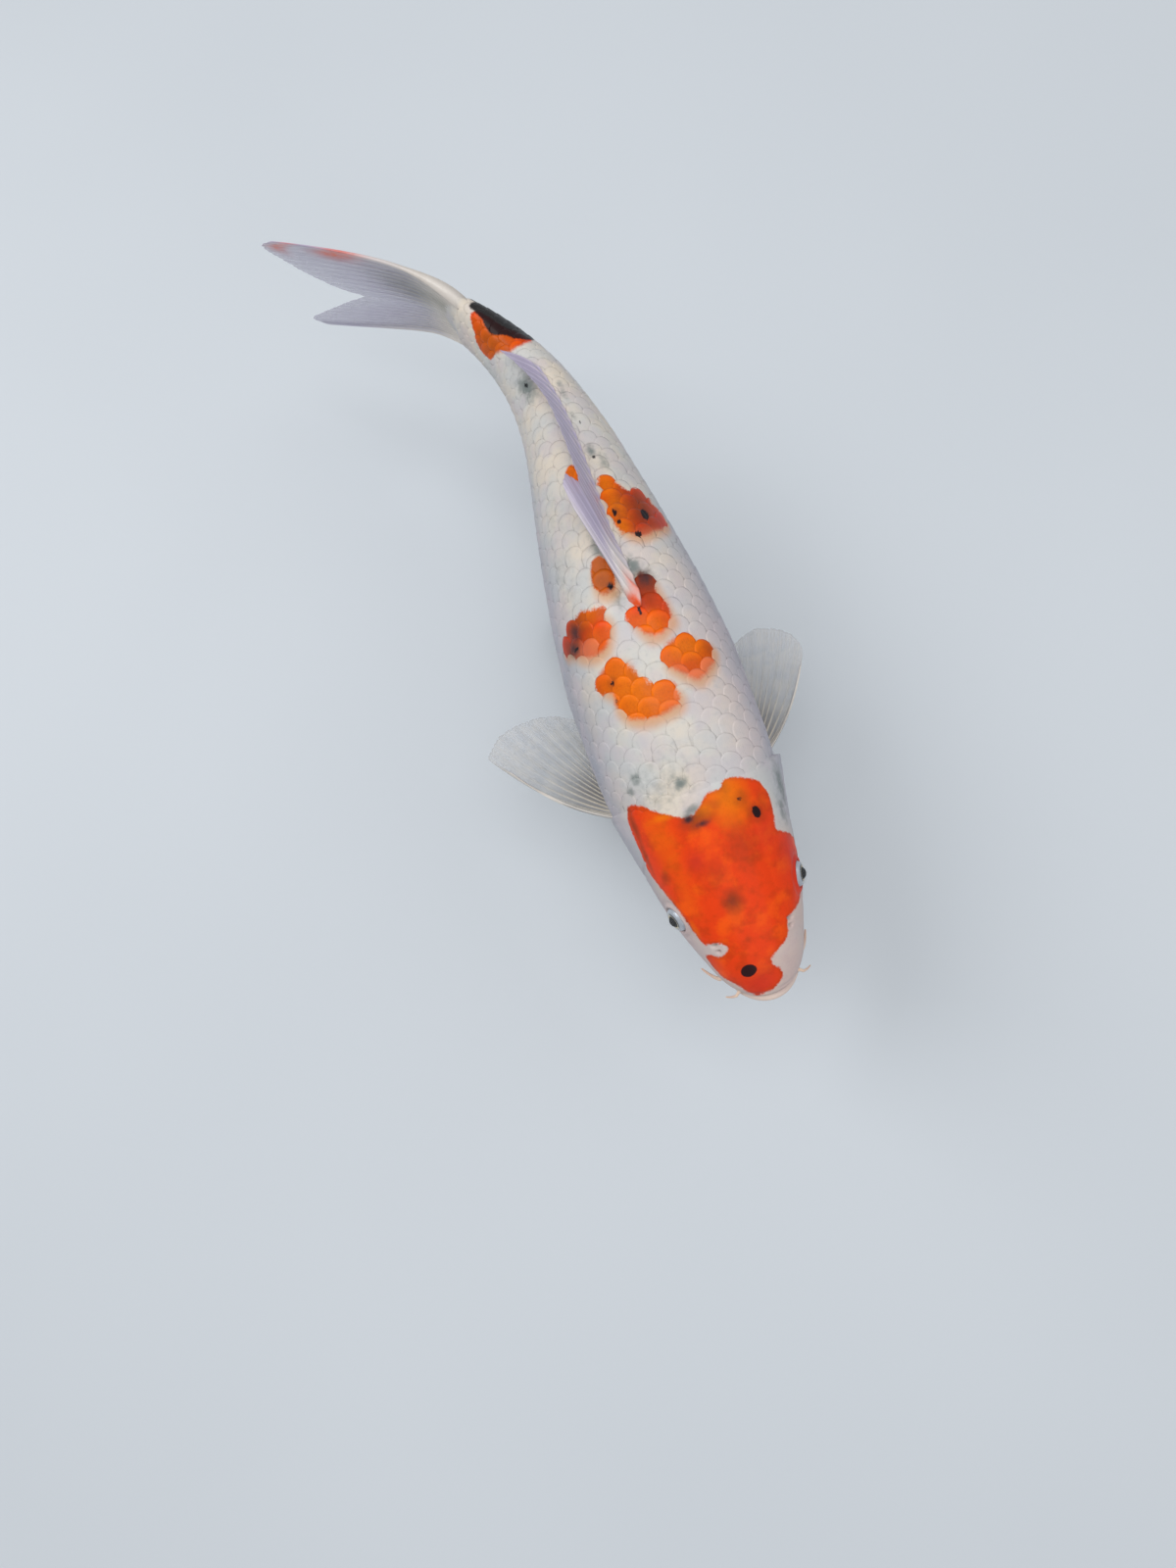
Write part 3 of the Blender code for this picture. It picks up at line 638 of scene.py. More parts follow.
def mouth_frame(points):
    """Way from the snout, height over the mouth's arched slit, and distance back, in mm."""
    away = (points - SNOUT_AT) / MM
    arch = 0.022 * np.minimum(np.abs(away[..., 0]), 18.0) ** 2 - 1.2
    rise = away[..., 2] - MOUTH_AT * LENGTH / MM + arch
    over_slit = rise * math.cos(MOUTH_SLOPE) + away[..., 1] * math.sin(MOUTH_SLOPE)
    return away, over_slit, np.hypot(away[..., 1], 0.35 * away[..., 0])


def mouth_relief(points):
    """The slit between the lips, which are rolls with a fold round them."""
    away, over, back = mouth_frame(points)
    taper = 0.62 + 0.38 * ramp(MOUTH_CORNER, 4.0, back)
    rolls = 1.2 * hump(over - 2.1 * taper, 1.35 * taper)
    rolls += 0.95 * hump(over + 1.9 * taper, 1.15 * taper)
    folds = 0.95 * hump(over - 4.7 * taper, 0.75) + 0.7 * hump(over + 4.1 * taper, 0.75)
    wrinkles = np.sin(np.arctan2(away[..., 0], 30 - away[..., 1]) * 120)
    wrinkles *= 0.05 * hump(np.abs(over) - 2.1, 1.0)
    slit = -2.6 * hump(over, 0.62) * ramp(MOUTH_CORNER + 0.5, MOUTH_CORNER - 3.5, back)
    lips = ramp(MOUTH_CORNER + 4.0, MOUTH_CORNER - 6.0, back) * (rolls - folds + wrinkles)
    rostral = -0.4 * hump(over - 7.6 + 0.08 * away[..., 1], 0.9)
    rostral *= ramp(24.0, 12.0, back) * ramp(1.0, 5.0, np.abs(away[..., 0]))
    return slit + lips + rostral - SNOUT_SINKS * ramp(20.0, 5.0, back)


def throat_relief(place, degrees):
    """The folds of the throat under the gill covers, and the chin's groove."""
    off = np.abs(half_turn(degrees - 270.0))
    relief = -0.5 * hump(off - (4 + 130 * np.maximum(place - 0.075, 0.0)), 1.5)
    for fold in (0, 1, 2):
        relief -= 0.32 * hump(off - (16 + 9 * fold + 95 * (place - 0.09)), 1.6)
    return relief * ramp(0.065, 0.1, place) * ramp(0.235, 0.2, place)


def head_relief(points, place, degrees):
    """Millimetres that the fine forms of the head stand above the plain body."""
    relief = mouth_relief(points) + throat_relief(place, degrees)
    for side in SIDES.values():
        relief += eye_relief(points, side) + nostril_relief(points, side)
        relief += gill_relief(place, degrees, side) * ramp(0.02, 0.08, place)
    off = np.abs(half_turn(degrees - 90.0))
    crown = 0.28 * hump(off, 3.2) + 0.2 * hump(off - 26 + 40 * (place - 0.15), 2.6)
    return relief - crown * ramp(0.09, 0.14, place) * ramp(0.262, 0.22, place)


def skin_grid():
    """Place and across of the skin's points. The columns run from the belly round the
    right side, the back and the left side, crowded towards the eyes and the gill covers."""
    head, trunk, stalk = SKIN_ROWS
    front = between(SKIN_ENDS[:2], (np.arange(head) / head) ** 1.35)
    middle = between(SKIN_ENDS[1:3], np.arange(trunk) / trunk)
    place = np.concatenate([front, middle, np.linspace(*SKIN_ENDS[2:], stalk)])[:, None]
    fine = np.linspace(-1.0, 1.0, 2001)
    density = 1.0 + 0.9 * hump(np.abs(fine) - 0.46, 0.2)
    total = running((density[1:] + density[:-1]) / 2)
    share = np.interp(np.linspace(0, total[-1], SKIN_COLUMNS + 1)[:-1], total, fine)
    return np.broadcast_arrays(place, share * GIRTH.half(place))


def build_skin():
    place, across = skin_grid()
    degrees = GIRTH.degrees(place, across)
    base = skin(place, degrees)
    relief = head_relief(base, place, degrees)
    past_start = place - scales_start(degrees)
    relief -= COAT_DEPTH * ramp(-0.012, 0.004, past_start) * ramp(1.045, 1.02, place)
    relief -= 0.25 * ramp(1.0, 1.04, place)
    points = base + skin_normal(place, degrees) * (relief * MM)[..., None]
    floats = pigments(place, across)
    # Painted shade: the skin's colour is darkened where its relief sinks deepest on the head, in
    # the mouth's slit, the gill slits, the nostrils and the eye sockets.
    hollow = np.clip((-relief - 0.35 - SNOUT_SINKS * (place < 0.06)) / 1.8, 0.0, 1.0)
    floats["hollow"] = hollow * ramp(0.3, 0.28, place)
    _, over_slit, back = mouth_frame(base)
    floats["lip"] = ramp(4.6, 3.2, np.abs(over_slit))
    floats["lip"] *= ramp(MOUTH_CORNER + 3, MOUTH_CORNER - 4, back)
    return tube("skin", points, floats, flip=True)


# ---- the scales

UPPER_ROWS = 9  # rows between the lateral line and the back
LOWER_ROWS = 8
STEP_ALONG = ((0.26, 7.4), (0.35, 8.2), (0.5, 8.2), (0.7, 7.2), (0.85, 6.2), (1.03, 5.2))
ROW_TAPER = ((0.25, 1.0), (0.5, 1.0), (0.7, 0.93), (0.85, 0.8), (1.03, 0.66))
FIRST_SCALE = 0.2535  # its place
LAST_SCALE = 1.012
SCALE_ENDS = (-1.15, 0.62)  # from its root to the front and the rear edge, in steps
SCALE_SPREAD = 0.64  # half width of a scale, as share of the distance between rows
SCALE_THICK = 0.065  # millimetres
SCALE_LIFT = (-0.5, -0.06)  # millimetres from the body's surface: the root and the rear edge
PATCH_ON_MAP = 0.003  # length of one scale on the coat's unwrap
MAP_MARGIN = 0.02
MAP_END = 1.06  # the place at the unwrap's rear margin
SCALE_GRID = (13, 11)


def settled(gaps, row):
    """Row gaps from a midline to a row, eased so that one row runs along the midline."""
    away = gaps - row
    rest = gaps % 1.0
    return away + np.where(rest < 0.5, -rest, 1.0 - rest) * ramp(4.5, 0.0, away)


def scale_roots():
    """Place, across, row, length and half width in millimetres of every scale."""
    columns = [FIRST_SCALE]
    while columns[-1] < STEP_ALONG[-1][0]:
        columns.append(columns[-1] + smooth(STEP_ALONG, 1, columns[-1]) * MM / LENGTH)
    index = np.arange(len(columns))
    line = GIRTH.across(np.array(0.45), np.array(0.0))  # the lateral line, where widest
    found = []
    for row in range(-LOWER_ROWS - 2, UPPER_ROWS + 3):
        place = np.interp(index[:-1] + 0.5 * (row % 2), index, columns)
        step, taper = smooth(STEP_ALONG, 1, place), smooth(ROW_TAPER, 1, place)
        lateral, half = GIRTH.across(place, np.zeros_like(place)), GIRTH.half(place)
        if row >= 0:
            gap = taper * line / UPPER_ROWS
            away = settled(lateral / gap, row)
            distance = away * gap
        else:
            gap = taper * (GIRTH.half(0.45) - line) / (LOWER_ROWS + 0.5)
            away = settled((half - lateral) / gap, -row)
            distance = half - away * gap
        for side in SIDES.values():
            middle = np.abs(away) < 0.3
            across = side * np.where(middle & (row >= 0), 0.0, distance)
            keep = (away > 0.3) | (middle & (side > 0))
            keep &= place > scales_start(GIRTH.degrees(place, across)) - 0.014
            keep &= place < LAST_SCALE
            width = SCALE_SPREAD * gap * LENGTH / MM
            rows = np.stack([place, across, np.full_like(place, row), step, width], axis=1)
            found.append(rows[keep])
    return np.concatenate(found)


def build_scales(name, roots, seed):
    """One object with a closed plate for each root."""
    rng = np.random.default_rng(seed)
    (nu, nv), count = SCALE_GRID, len(roots)
    u = np.linspace(0, 1, nu)[None, :, None]
    v = np.linspace(-1, 1, nv)[None, None, :]
    place, across, row, step, width = (roots[:, k][:, None, None] for k in range(5))
    jitter = rng.normal(size=(6, count, 1, 1))
    width = width * (1 + 0.025 * jitter[0])
    front, rear = (step * end for end in SCALE_ENDS)
    rear = rear * (1 + 0.035 * jitter[1])
    wobble = 1 + 0.018 * np.sin(v * 5 + jitter[2] * 3) + 0.012 * np.sin(v * 11 + jitter[3] * 3)
    round_off = width * (1 - np.sqrt(np.maximum(1 - (0.985 * v) ** 2, 0.0)))
    rear_edge = rear * wobble - 0.92 * round_off
    along = between((front + 0.3 * round_off, rear_edge), u)
    sideways = width * v * (0.86 + 0.14 * ramp(0.0, 0.45, u)) + 0.06 * jitter[4]
    at_place = place + along * MM / LENGTH
    at_across = across + sideways * MM / LENGTH
    half = GIRTH.half(at_place)
    over = np.abs(at_across) > half
    at_across = np.where(over, np.sign(at_across) * 2 * half - at_across, at_across)
    degrees = GIRTH.degrees(at_place, at_across)
    degrees = np.where(over, 540.0 - degrees, degrees)
    to_rear = rear_edge - along
    canal = (row == 0) * hump(v * width, 0.55) * ramp(0.35, 0.5, u) * ramp(0.93, 0.86, u)
    height = between(SCALE_LIFT, (along - front) / (rear - front)) + 0.16 * canal
    height += 0.02 * jitter[5] * u - 0.06 * v ** 2 - 0.09 * ramp(0.6, 0.0, to_rear)
    normal = skin_normal(at_place, degrees)
    thick = SCALE_THICK * np.minimum(1.0, 0.35 + to_rear / 0.8)
    top = skin(at_place, degrees) + normal * (height * MM)[..., None]
    under = top - normal * (thick * MM)[..., None]
    points = np.stack([top, under], axis=1)
    each = nu * nv
    starts = (np.arange(count) * 2 * each)[:, None, None]
    faces = (plate_faces(nu, nv)[None] + starts).reshape(-1, 4)
    centre = (place + (rear - 0.5 * step) * MM / LENGTH, across)
    floats = pigments(at_place, at_across, [np.broadcast_to(c, at_place.shape) for c in centre])
    ring = np.hypot(along - 0.1 * step, sideways * 0.9)
    floats.update(edge=to_rear, ring=ring, tone=jitter[2], canal=canal, side=v)
    for key, value in floats.items():
        value = np.broadcast_to(value, at_place.shape)
        floats[key] = np.tile(value.reshape(count, each), (1, 2))
    turn = (GIRTH.degrees(place, across) + 90.0) % 360.0
    root_u, root_v = (
        between((MAP_MARGIN, 1 - MAP_MARGIN), way) for way in (place / MAP_END, turn / 360)
    )
    on_map = (root_u + PATCH_ON_MAP * (u - 0.5), root_v + PATCH_ON_MAP * 0.5 * v)
    uvs = np.stack(np.broadcast_arrays(*on_map), -1).reshape(count, each, 2)
    return make_mesh(name, points, [faces], floats, np.tile(uvs, (1, 2, 1)))


# ---- the fins

# Each fin: its grid, its rays, their width at the root and the margin as share of the way
# from ray to ray, where they split, how far the margin is frayed, and a seed for that; in
# millimetres the thickness of its root, of a ray at the margin and the root, and of the
# first ray; and how solid membrane and rays look at the root, half way and at the margin.
FIN_FIELDS = (
    "grid", "rays", "width", "split_at", "fray", "seed", "root", "ray", "lead", "bare", "rayed",
)
FINS = {
    "dorsal": (
        (300, 62), 20, (0.24, 0.09), 0.55, 0.012, 1, 2.0, (0.09, 0.8), 1.3,
        (0.98, 0.86, 0.66), (1.0, 0.95, 0.76),
    ),
    "anal": (
        (110, 56), 8, (0.2, 0.075), 0.42, 0.01, 2, 2.0, (0.14, 0.95), 1.5,
        (0.93, 0.42, 0.22), (0.99, 0.74, 0.34),
    ),
    "pectoral": (
        (260, 84), 17, (0.25, 0.085), 0.4, 0.005, 3, 3.4, (0.07, 0.95), 1.6,
        (0.96, 0.56, 0.3), (1.0, 0.7, 0.34),
    ),
    "pelvic": (
        (150, 60), 9, (0.25, 0.085), 0.4, 0.005, 3, 2.8, (0.07, 0.95), 1.6,
        (0.96, 0.56, 0.3), (1.0, 0.7, 0.34),
    ),
    "tail": (
        (330, 96), 20, (0.24, 0.07), 0.36, 0.006, 5, 0.0, (0.07, 1.07), 0.0,
        (0.98, 0.58, 0.34), (1.0, 0.82, 0.46),
    ),
}


class Fan:
    """The grid of a fin: share runs along its root, and along runs along its rays.

    ridge is 1 on a ray and 0 between rays. Each ray splits in two, and near the margin in
    four. t is along, a little shorter between the rays of the margin.
    """

    def __init__(self, kind, crowd=1.0, seed=0):
        for key, value in zip(FIN_FIELDS, FINS[kind]):
            setattr(self, key, value)
        columns, rows = self.grid
        self.share = share = np.linspace(0, 1, columns)[:, None]
        self.along = along = np.linspace(0, 1, rows)[None, :] ** crowd
        x = share * (self.rays - 1)
        off = np.abs(np.abs(x - np.round(x)) - 0.21 * ramp(self.split_at, 1.05, along))
        off = np.abs(off - 0.085 * ramp(0.72, 1.1, along))
        self.ridge = hump(off, between(self.width, np.minimum(along * 1.6, 1.0)))
        seed += self.seed
        ragged = 0.5 + 0.5 * np.sin(share * 61.0 + seed) * np.sin(share * 23.0 + 2 * seed)
        frayed = self.fray * (1 - self.ridge) * along ** 4 + 0.008 * ragged * along ** 6
        self.t = along * (1 - frayed)
        self.floats = {"ridge": self.ridge, "along": along}

    def parts(self):
        return self.share, self.along, self.ridge

    def swept(self, root, heading, length, curl):
        """Points of the rays: they leave their roots along the heading, and curl."""
        t = self.t[..., None]
        reach = (length * LENGTH)[..., None] * t
        return root[:, None] + heading[:, None] * reach + curl[:, None] * reach * t

    def thickness(self):
        """Millimetres: a membrane with rays standing out of it, and a stout first ray."""
        share, along, ridge = self.parts()
        fade = (1 - along) ** 1.3
        edge = self.lead * hump(share, 0.035) * (0.25 + 0.9 * (1 - along))
        fleshy = (self.root - 0.6) * fall(along, 0.16) ** 2
        return between((0.16, 0.55), fade) + between(self.ray, fade) * ridge + edge + fleshy

    def cover(self, edge):
        """How solid the fin looks. edge is 1 on its stout first ray."""
        ends = [np.interp(self.along, (0, 0.45, 1), at) for at in (self.bare, self.rayed)]
        return np.clip(between(ends, self.ridge) + edge, 0.0, 1.0)

    def close(self, name, points, thickness, root_way=0.0, **floats):
        """A blade round the points. Its first rows go into the body by the root's way."""
        normal = unit(np.cross(np.gradient(points, axis=0), np.gradient(points, axis=1)))
        half = normal * thickness[..., None] * MM / 2
        points = points + root_way * MM
        floats.update(self.floats)
        floats = {k: np.tile(np.broadcast_to(v, self.grid).ravel(), 2) for k, v in floats.items()}
        both = np.stack([points + half, points - half])
        return make_mesh(name, both, [plate_faces(*self.grid, flip=True)], floats)


def build_dorsal():
    """Half folded: its rays lie back along the body, and it leans to the right side."""
    fan = Fan("dorsal")
    share, along, ridge = fan.parts()
    place, angle = (between(DORSAL[key], share[:, 0]) for key in ("along", "root_angle"))
    _, tailward, left = spine(place)
    sweep = np.radians(between(DORSAL["sweep"], share))
    length, lean, aside = (smooth(DORSAL_RAYS, column, share) for column in (1, 2, 3))
    lean = np.radians(lean)
    rise = UP * np.cos(lean) - left * np.sin(lean)
    heading = tailward * np.cos(sweep) + rise * np.sin(sweep)
    root = skin(place, angle) + UP * (GAP + MM * np.sin(lean))
    curl = tailward * DORSAL_CURL[0] - left * aside - UP * DORSAL_CURL[1]
    points = fan.swept(root, heading, length, curl * np.sin(sweep) ** 2)
    ripple = 0.3 * np.sin(share * 74.0 + along * 2.0) * along * (1 - 0.6 * along)
    points += left[:, None] * (ripple * MM)[..., None]
    thick = fan.thickness() + hump(share - 0.03, 0.03) * 0.5 * (1 - along)
    flesh = ramp(0.3, 0.03, share) * fall(along, 0.3) ** 1.2
    thick += 5.0 * flesh * np.sqrt(ramp(-0.004, 0.045, share))
    pale = ramp(0.24, 0.08, share) * ramp(0.5, 0.16, along)
    return fan.close(
        "dorsal_fin_blade", points, thick, -UP * (1.7 * fall(along, 0.25))[..., None],
        cover=fan.cover(0.55 * hump(share, 0.045)),
        red=ramp(0.13, 0.02, share) * ramp(0.24, 0.05, along) * (0.55 + 0.45 * ridge),
        olive=0.1 * hump(share - 0.35, 0.12) * ramp(0.6, 0.1, along),
        dusk=(1 - ridge) * ramp(0.0, 0.15, along) * 0.22 * (1 - pale),
        cream=np.maximum(0.85 * pale, 0.4 * hump(share, 0.05)), lilac=1.0,
    )


def build_anal():
    fan = Fan("anal")
    share, along, ridge = fan.parts()
    place = between(ANAL["along"], share[:, 0])
    _, tailward, left = spine(place)
    sweep = np.radians(between(ANAL["sweep"], share))
    heading = tailward * np.cos(sweep) - UP * np.sin(sweep) + left * ANAL["lean_left"]
    root = skin(place, 270.0) - UP * (GAP + 0.2 * MM)
    points = fan.swept(root, heading, smooth(ANAL_HEIGHTS, 1, share), 0 * left)
    ripple = 0.5 * np.sin(share * 19 + along * 2) * along
    points += left[:, None] * (ripple * MM)[..., None]
    return fan.close(
        "anal_fin_blade", points, fan.thickness(), UP * (2.2 * fall(along, 0.2))[..., None],
        cover=fan.cover(0.55 * hump(share, 0.045)), red=0.25 * ramp(0.3, 0.0, along),
        dusk=0.3 * (1 - ridge) * ramp(0.1, 0.2, along), cream=ramp(0.3, 0.0, along),
    )


def build_paired(kind, side):
    sign = SIDES[side]
    fan = Fan(kind, seed=sign)
    share, along, ridge = fan.parts()
    places, turns, rays = PAIRED[kind, side]
    place = between(places, share[:, 0])
    turn = side_angle(between(turns, share[:, 0]), sign)
    _, tailward, left = spine(place)
    out = left * sign
    length, spread, drop = (smooth(rays, column, share) for column in (1, 2, 3))
    spread, drop = np.radians(spread), np.radians(drop)
    heading = tailward * np.cos(spread) + out * np.sin(spread)
    heading = heading * np.cos(drop) - UP * np.sin(drop)
    normal = skin_normal(place, turn)
    root = skin(place, turn) + normal * (GAP + fan.root * MM / 2)
    bend = (tailward * FAN_CURL[0] - out * FAN_CURL[1]) * np.sin(spread) ** 2
    points = fan.swept(root, heading, length, bend)
    wave = 0.6 * np.sin(share * 9 + along * 3) + 0.22 * np.sin(share * (fan.rays - 1) * math.pi)
    points += UP * (wave * along * (1 - 0.3 * along) * MM)[..., None]
    stripes = (1 - ridge) * ramp(0.06, 0.16, along) * ramp(0.62, 0.3, along)
    return fan.close(
        f"{kind}_fin_{side}_blade", points, fan.thickness(),
        -normal[:, None] * (3.6 * fall(along, 0.1))[..., None],
        cover=fan.cover(0.55 * hump(share, 0.045)),
        dusk=stripes * (0.35 + 0.65 * hump(share - 0.42, 0.3)),
        olive=0.25 * ramp(0.1, 0.5, along) * ramp(1.0, 0.6, along),
        cream=np.maximum(hump(share, 0.06), ramp(0.22, 0.02, along)),
    )


def build_tail():
    """v runs from the lower edge (-1) over the fork (0) to the upper edge (1)."""
    fan = Fan("tail", crowd=1.1)
    share, u, ridge = fan.parts()
    v, t = 2 * share - 1, fan.t
    lobe = {key: np.where(v > 0, TAIL_UPPER[key], TAIL_LOWER[key]) for key in TAIL_UPPER}
    reach = between((TAIL_FORK, lobe["length"]), np.abs(v) ** lobe["fullness"])
    reach = reach * (1 - 0.13 * np.maximum(0.0, (np.abs(v) - 0.8) / 0.2) ** 2)
    place = 1.0 + GAP / LENGTH + reach * t
    half_height = between((TAIL_ROOT, lobe["tip"]), t ** lobe["spread"])
    middle = STATIONS[-1][4] - (TAIL_DROOP + TAIL_SAG * (1 - v * v)) * t
    level = (middle + v * half_height) * LENGTH
    centre, _, left = spine(place)
    wave = 1.1 * MM * np.sin(share * 17 + 3 * t) * t * (1 - t) * (1 - v ** 4)
    points = centre + UP * level[..., None] + left * (wave - lobe["twist"] * t * level)[..., None]
    outer, past_root = hump(1 - np.abs(v), 0.07), place - 1.0
    thick = 0.16 + 0.5 * (1 - u) ** 2 + ridge * between(fan.ray, (1 - u) ** 2)
    thick += outer * (0.15 + 1.5 * (1 - u)) + 3.6 * ramp(0.082, 0.012, past_root)
    shade = hump(v - 0.45, 0.36) * ramp(0.66, 0.34, u) * ramp(0.0, 0.12, u)
    red = hump(v - 0.93, 0.12) * hump(u - 0.66, 0.1)
    red = np.maximum(red, 0.9 * hump(v - 0.9, 0.12) * hump(u - 0.93, 0.045))
    return fan.close(
        "tail_fin_blade", points, thick, olive=0.75 * shade, red=red,
        cover=fan.cover(0.5 * outer + 0.22 * shade + 0.35 * red),
        dusk=(1 - ridge) * ramp(0.04, 0.15, u) * 0.1, lilac=0.4 + 0.5 * ramp(0.1, 0.7, u),
        cream=np.maximum(0.6 * outer * ramp(0.8, 0.5, u), ramp(0.085, 0.035, past_root)),
    )


# ---- eyes and barbels

PUPIL = 2.75  # millimetres, as all the eye's sizes
LENS_RADIUS = 3.1
LENS_FRONT = 6.05  # from the eyeball's middle
IRIS = 4.75
BALL = 6.3
CORNEA_EDGE = math.radians(62)
CORNEA_THICK = 0.3


def spokes(first, second, turns):
    """Directions round an axis, and their angles."""
    angles = np.linspace(0, 2 * math.pi, turns, endpoint=False)
    c, s = np.cos(angles)[:, None], np.sin(angles)[:, None]
    return c * first[..., None, :] + s * second[..., None, :], angles


def lathe(name, profile, centre, axis):
    """A closed shape from (distance from the axis, height) pairs, both in millimetres."""
    radial, depth = np.array(profile).T[:, :, None]
    side = unit(np.cross(axis, UP))
    ways, angles = spokes(side, np.cross(axis, side), 72)
    rings = centre + axis * (depth * MM)[..., None] + ways * (radial * MM)[..., None]
    floats = {"radial": radial, "depth": depth, "spoke": angles, "upward": -np.sin(angles)}
    return tube(name, rings, floats)


def arc(radius, start, end, count):
    return [(radius * math.sin(t), radius * math.cos(t)) for t in np.linspace(start, end, count)]


def ball_profile():
    """The eyeball: a dark lens that stands out of a slightly domed iris, on a sphere."""
    level = math.sqrt(BALL ** 2 - IRIS ** 2)
    profile = [
        (r, LENS_FRONT - LENS_RADIUS + math.sqrt(LENS_RADIUS ** 2 - r ** 2))
        for r in np.linspace(0.05, PUPIL - 0.12, 12)
    ]
    for out, up in ((-0.06, 0.1), (0.0, 0.34), (0.12, 0.44)):
        profile.append((PUPIL + out, level + up))
    for r in np.linspace(PUPIL + 0.25, IRIS - 0.15, 12):
        profile.append((r, level + 0.46 * (1 - ((r - PUPIL) / (IRIS - PUPIL)) ** 2)))
    return profile + arc(BALL, math.asin(IRIS / BALL), math.pi - 0.05, 22)


def cornea_profile():
    radius = EYE_RADIUS - 0.02
    inner = arc(radius - CORNEA_THICK, CORNEA_EDGE, 0.01, 20)
    return arc(radius, 0.01, CORNEA_EDGE, 20) + inner


def build_eye(side):
    spot = Spot(*EYE_AT, SIDES[side])
    centre = spot.centre + spot.normal * (EYE_STANDS_OUT - EYE_RADIUS) * MM
    ball = lathe(f"eyeball_{side}", ball_profile(), centre, spot.normal)
    return ball, lathe(f"cornea_{side}", cornea_profile(), centre, spot.normal)


def build_barbel(kind, side):
    """A soft tapering feeler with fine rings and a rounded tip."""
    place, angle, length, (back, out, down), radius = BARBELS[kind]
    sign = SIDES[side]
    place, turn = np.array(place), np.array(side_angle(angle, sign))
    _, tailward, left = spine(place)
    heading = unit(tailward * back + left * sign * out - UP * down)
    normal = skin_normal(place, turn)
    root = skin(place, turn) + normal * (GAP + radius * 0.9)
    reach = length * LENGTH
    t = np.linspace(0, 0.97, 90)
    sag = tailward * 0.25 - UP * 0.2
    line = root + reach * (heading * t[:, None] + sag * t[:, None] ** 2)
    line -= normal * (3.0 * MM * fall(t, 0.12) ** 1.5)[:, None]
    tangent = unit(np.gradient(line, axis=0))
    first = unit(np.cross(tangent, UP + 0.2 * left))
    rings = 1 + 0.05 * np.sin(t * reach / MM * 2 * math.pi / 0.8)
    girth = radius * (1 - 0.6 * t) * rings * 0.96
    girth = girth * np.sqrt(np.clip((0.972 - t) / 0.04, 0.0, 1.0)) + 0.02 * MM
    girth = girth * (1 + 0.55 * fall(t, 0.1) ** 2)
    ways, _ = spokes(first, np.cross(tangent, first), 20)
    points = line[:, None] + ways * girth[:, None, None]
    return tube(f"barbel_{kind}_{side}_feeler", points, {"along": t[:, None]})


# ---- materials


def operator(name):
    """A method that calculates with a value, by a node."""
    return lambda value, other=0.0: value.nodes.math(name, value, other)


class Value:
    """A socket of a material's node tree, to calculate with."""

    def __init__(self, nodes, socket):
        self.nodes, self.socket = nodes, socket

    __add__, __sub__, __mul__ = map(operator, ("ADD", "SUBTRACT", "MULTIPLY"))
    sine, size = map(operator, ("SINE", "ABSOLUTE"))

    def clamped(self):
        self.socket.node.use_clamp = True
        return self

    def spread(self, amount):
        """Noise round 0, from about -amount/2 to amount/2."""
        return (self - 0.5) * amount

    def step(self, low, high):
        """A smooth step from 0 at low to 1 at high."""
        return self.nodes.map("SMOOTHSTEP", self, low, high)

    def to(self, low, high):
        """A 0 to 1 value turned into low to high."""
        return self.nodes.map("LINEAR", self, 0.0, 1.0, low, high)


class Nodes:
    """A material's node tree, built by short calls. Colours are linear RGB."""

    def __init__(self, name):
        self.material = bpy.data.materials.new(name)
        self.material.use_nodes = True
        self.tree = self.material.node_tree
        self.tree.nodes.clear()
        self.shader = self.tree.nodes.new("ShaderNodeBsdfPrincipled")
        self.coordinates = self.add("TexCoord", "Object", {})
        out = self.tree.nodes.new("ShaderNodeOutputMaterial")
        self.tree.links.new(self.shader.outputs[0], out.inputs["Surface"])

    def feed(self, inputs, values):
        """Values or links for a node's inputs, by name or number."""
        for key, value in values.items():
            if isinstance(value, Value):
                self.tree.links.new(value.socket, inputs[key])
            elif inputs[key].type == "RGBA":
                inputs[key].default_value = (*value, 1.0)
            else:
                inputs[key].default_value = value

    def add(self, kind, output, values, **settings):
        """An output of a new node."""
        node = self.tree.nodes.new("ShaderNode" + kind)
        for key, value in settings.items():
            setattr(node, key, value)
        self.feed(node.inputs, values)
        return Value(self, node.outputs[output])

    def __getitem__(self, name):
        """A value that the mesh carries."""
        return self.add("Attribute", "Fac", {}, attribute_name=name)

    def math(self, operation, *values):
        return self.add("Math", 0, dict(enumerate(values)), operation=operation)

    def map(self, how, *values):
        return self.add("MapRange", 0, dict(enumerate(values)), interpolation_type=how)

    def mix(self, share, a, b, blend="MIX"):
        values = {0: share, 6: a, 7: b}
        return self.add("Mix", 2, values, data_type="RGBA", blend_type=blend)

    def layers(self, color, *layers):
        """The colour with others laid over it, each given with its share."""
        for share, over in layers:
            color = self.mix(share, color, over)
        return color

    def noise(self, size_mm, detail=3.0, stretch=(1.0, 1.0, 1.0)):
        """Cloudy noise whose blobs are about this many millimetres across."""
        at = self.add("Mapping", 0, {"Vector": self.coordinates, "Scale": stretch})
        values = {"Vector": at, "Scale": 1 / (size_mm * MM), "Detail": detail, "Roughness": 0.55}
        return self.add("TexNoise", "Fac", values)

    def finish(self, height=None, depth_mm=0.0, strength=0.0, **inputs):
        """Sets the shader's inputs, and the bump of a height. Returns the material."""
        inputs = {key.replace("_", " "): value for key, value in inputs.items()}
        if height is not None:
            bump = {"Strength": strength, "Distance": depth_mm * MM, "Height": height}
            inputs["Normal"] = self.add("Bump", 0, bump)
        self.feed(self.shader.inputs, inputs)
        return self.material


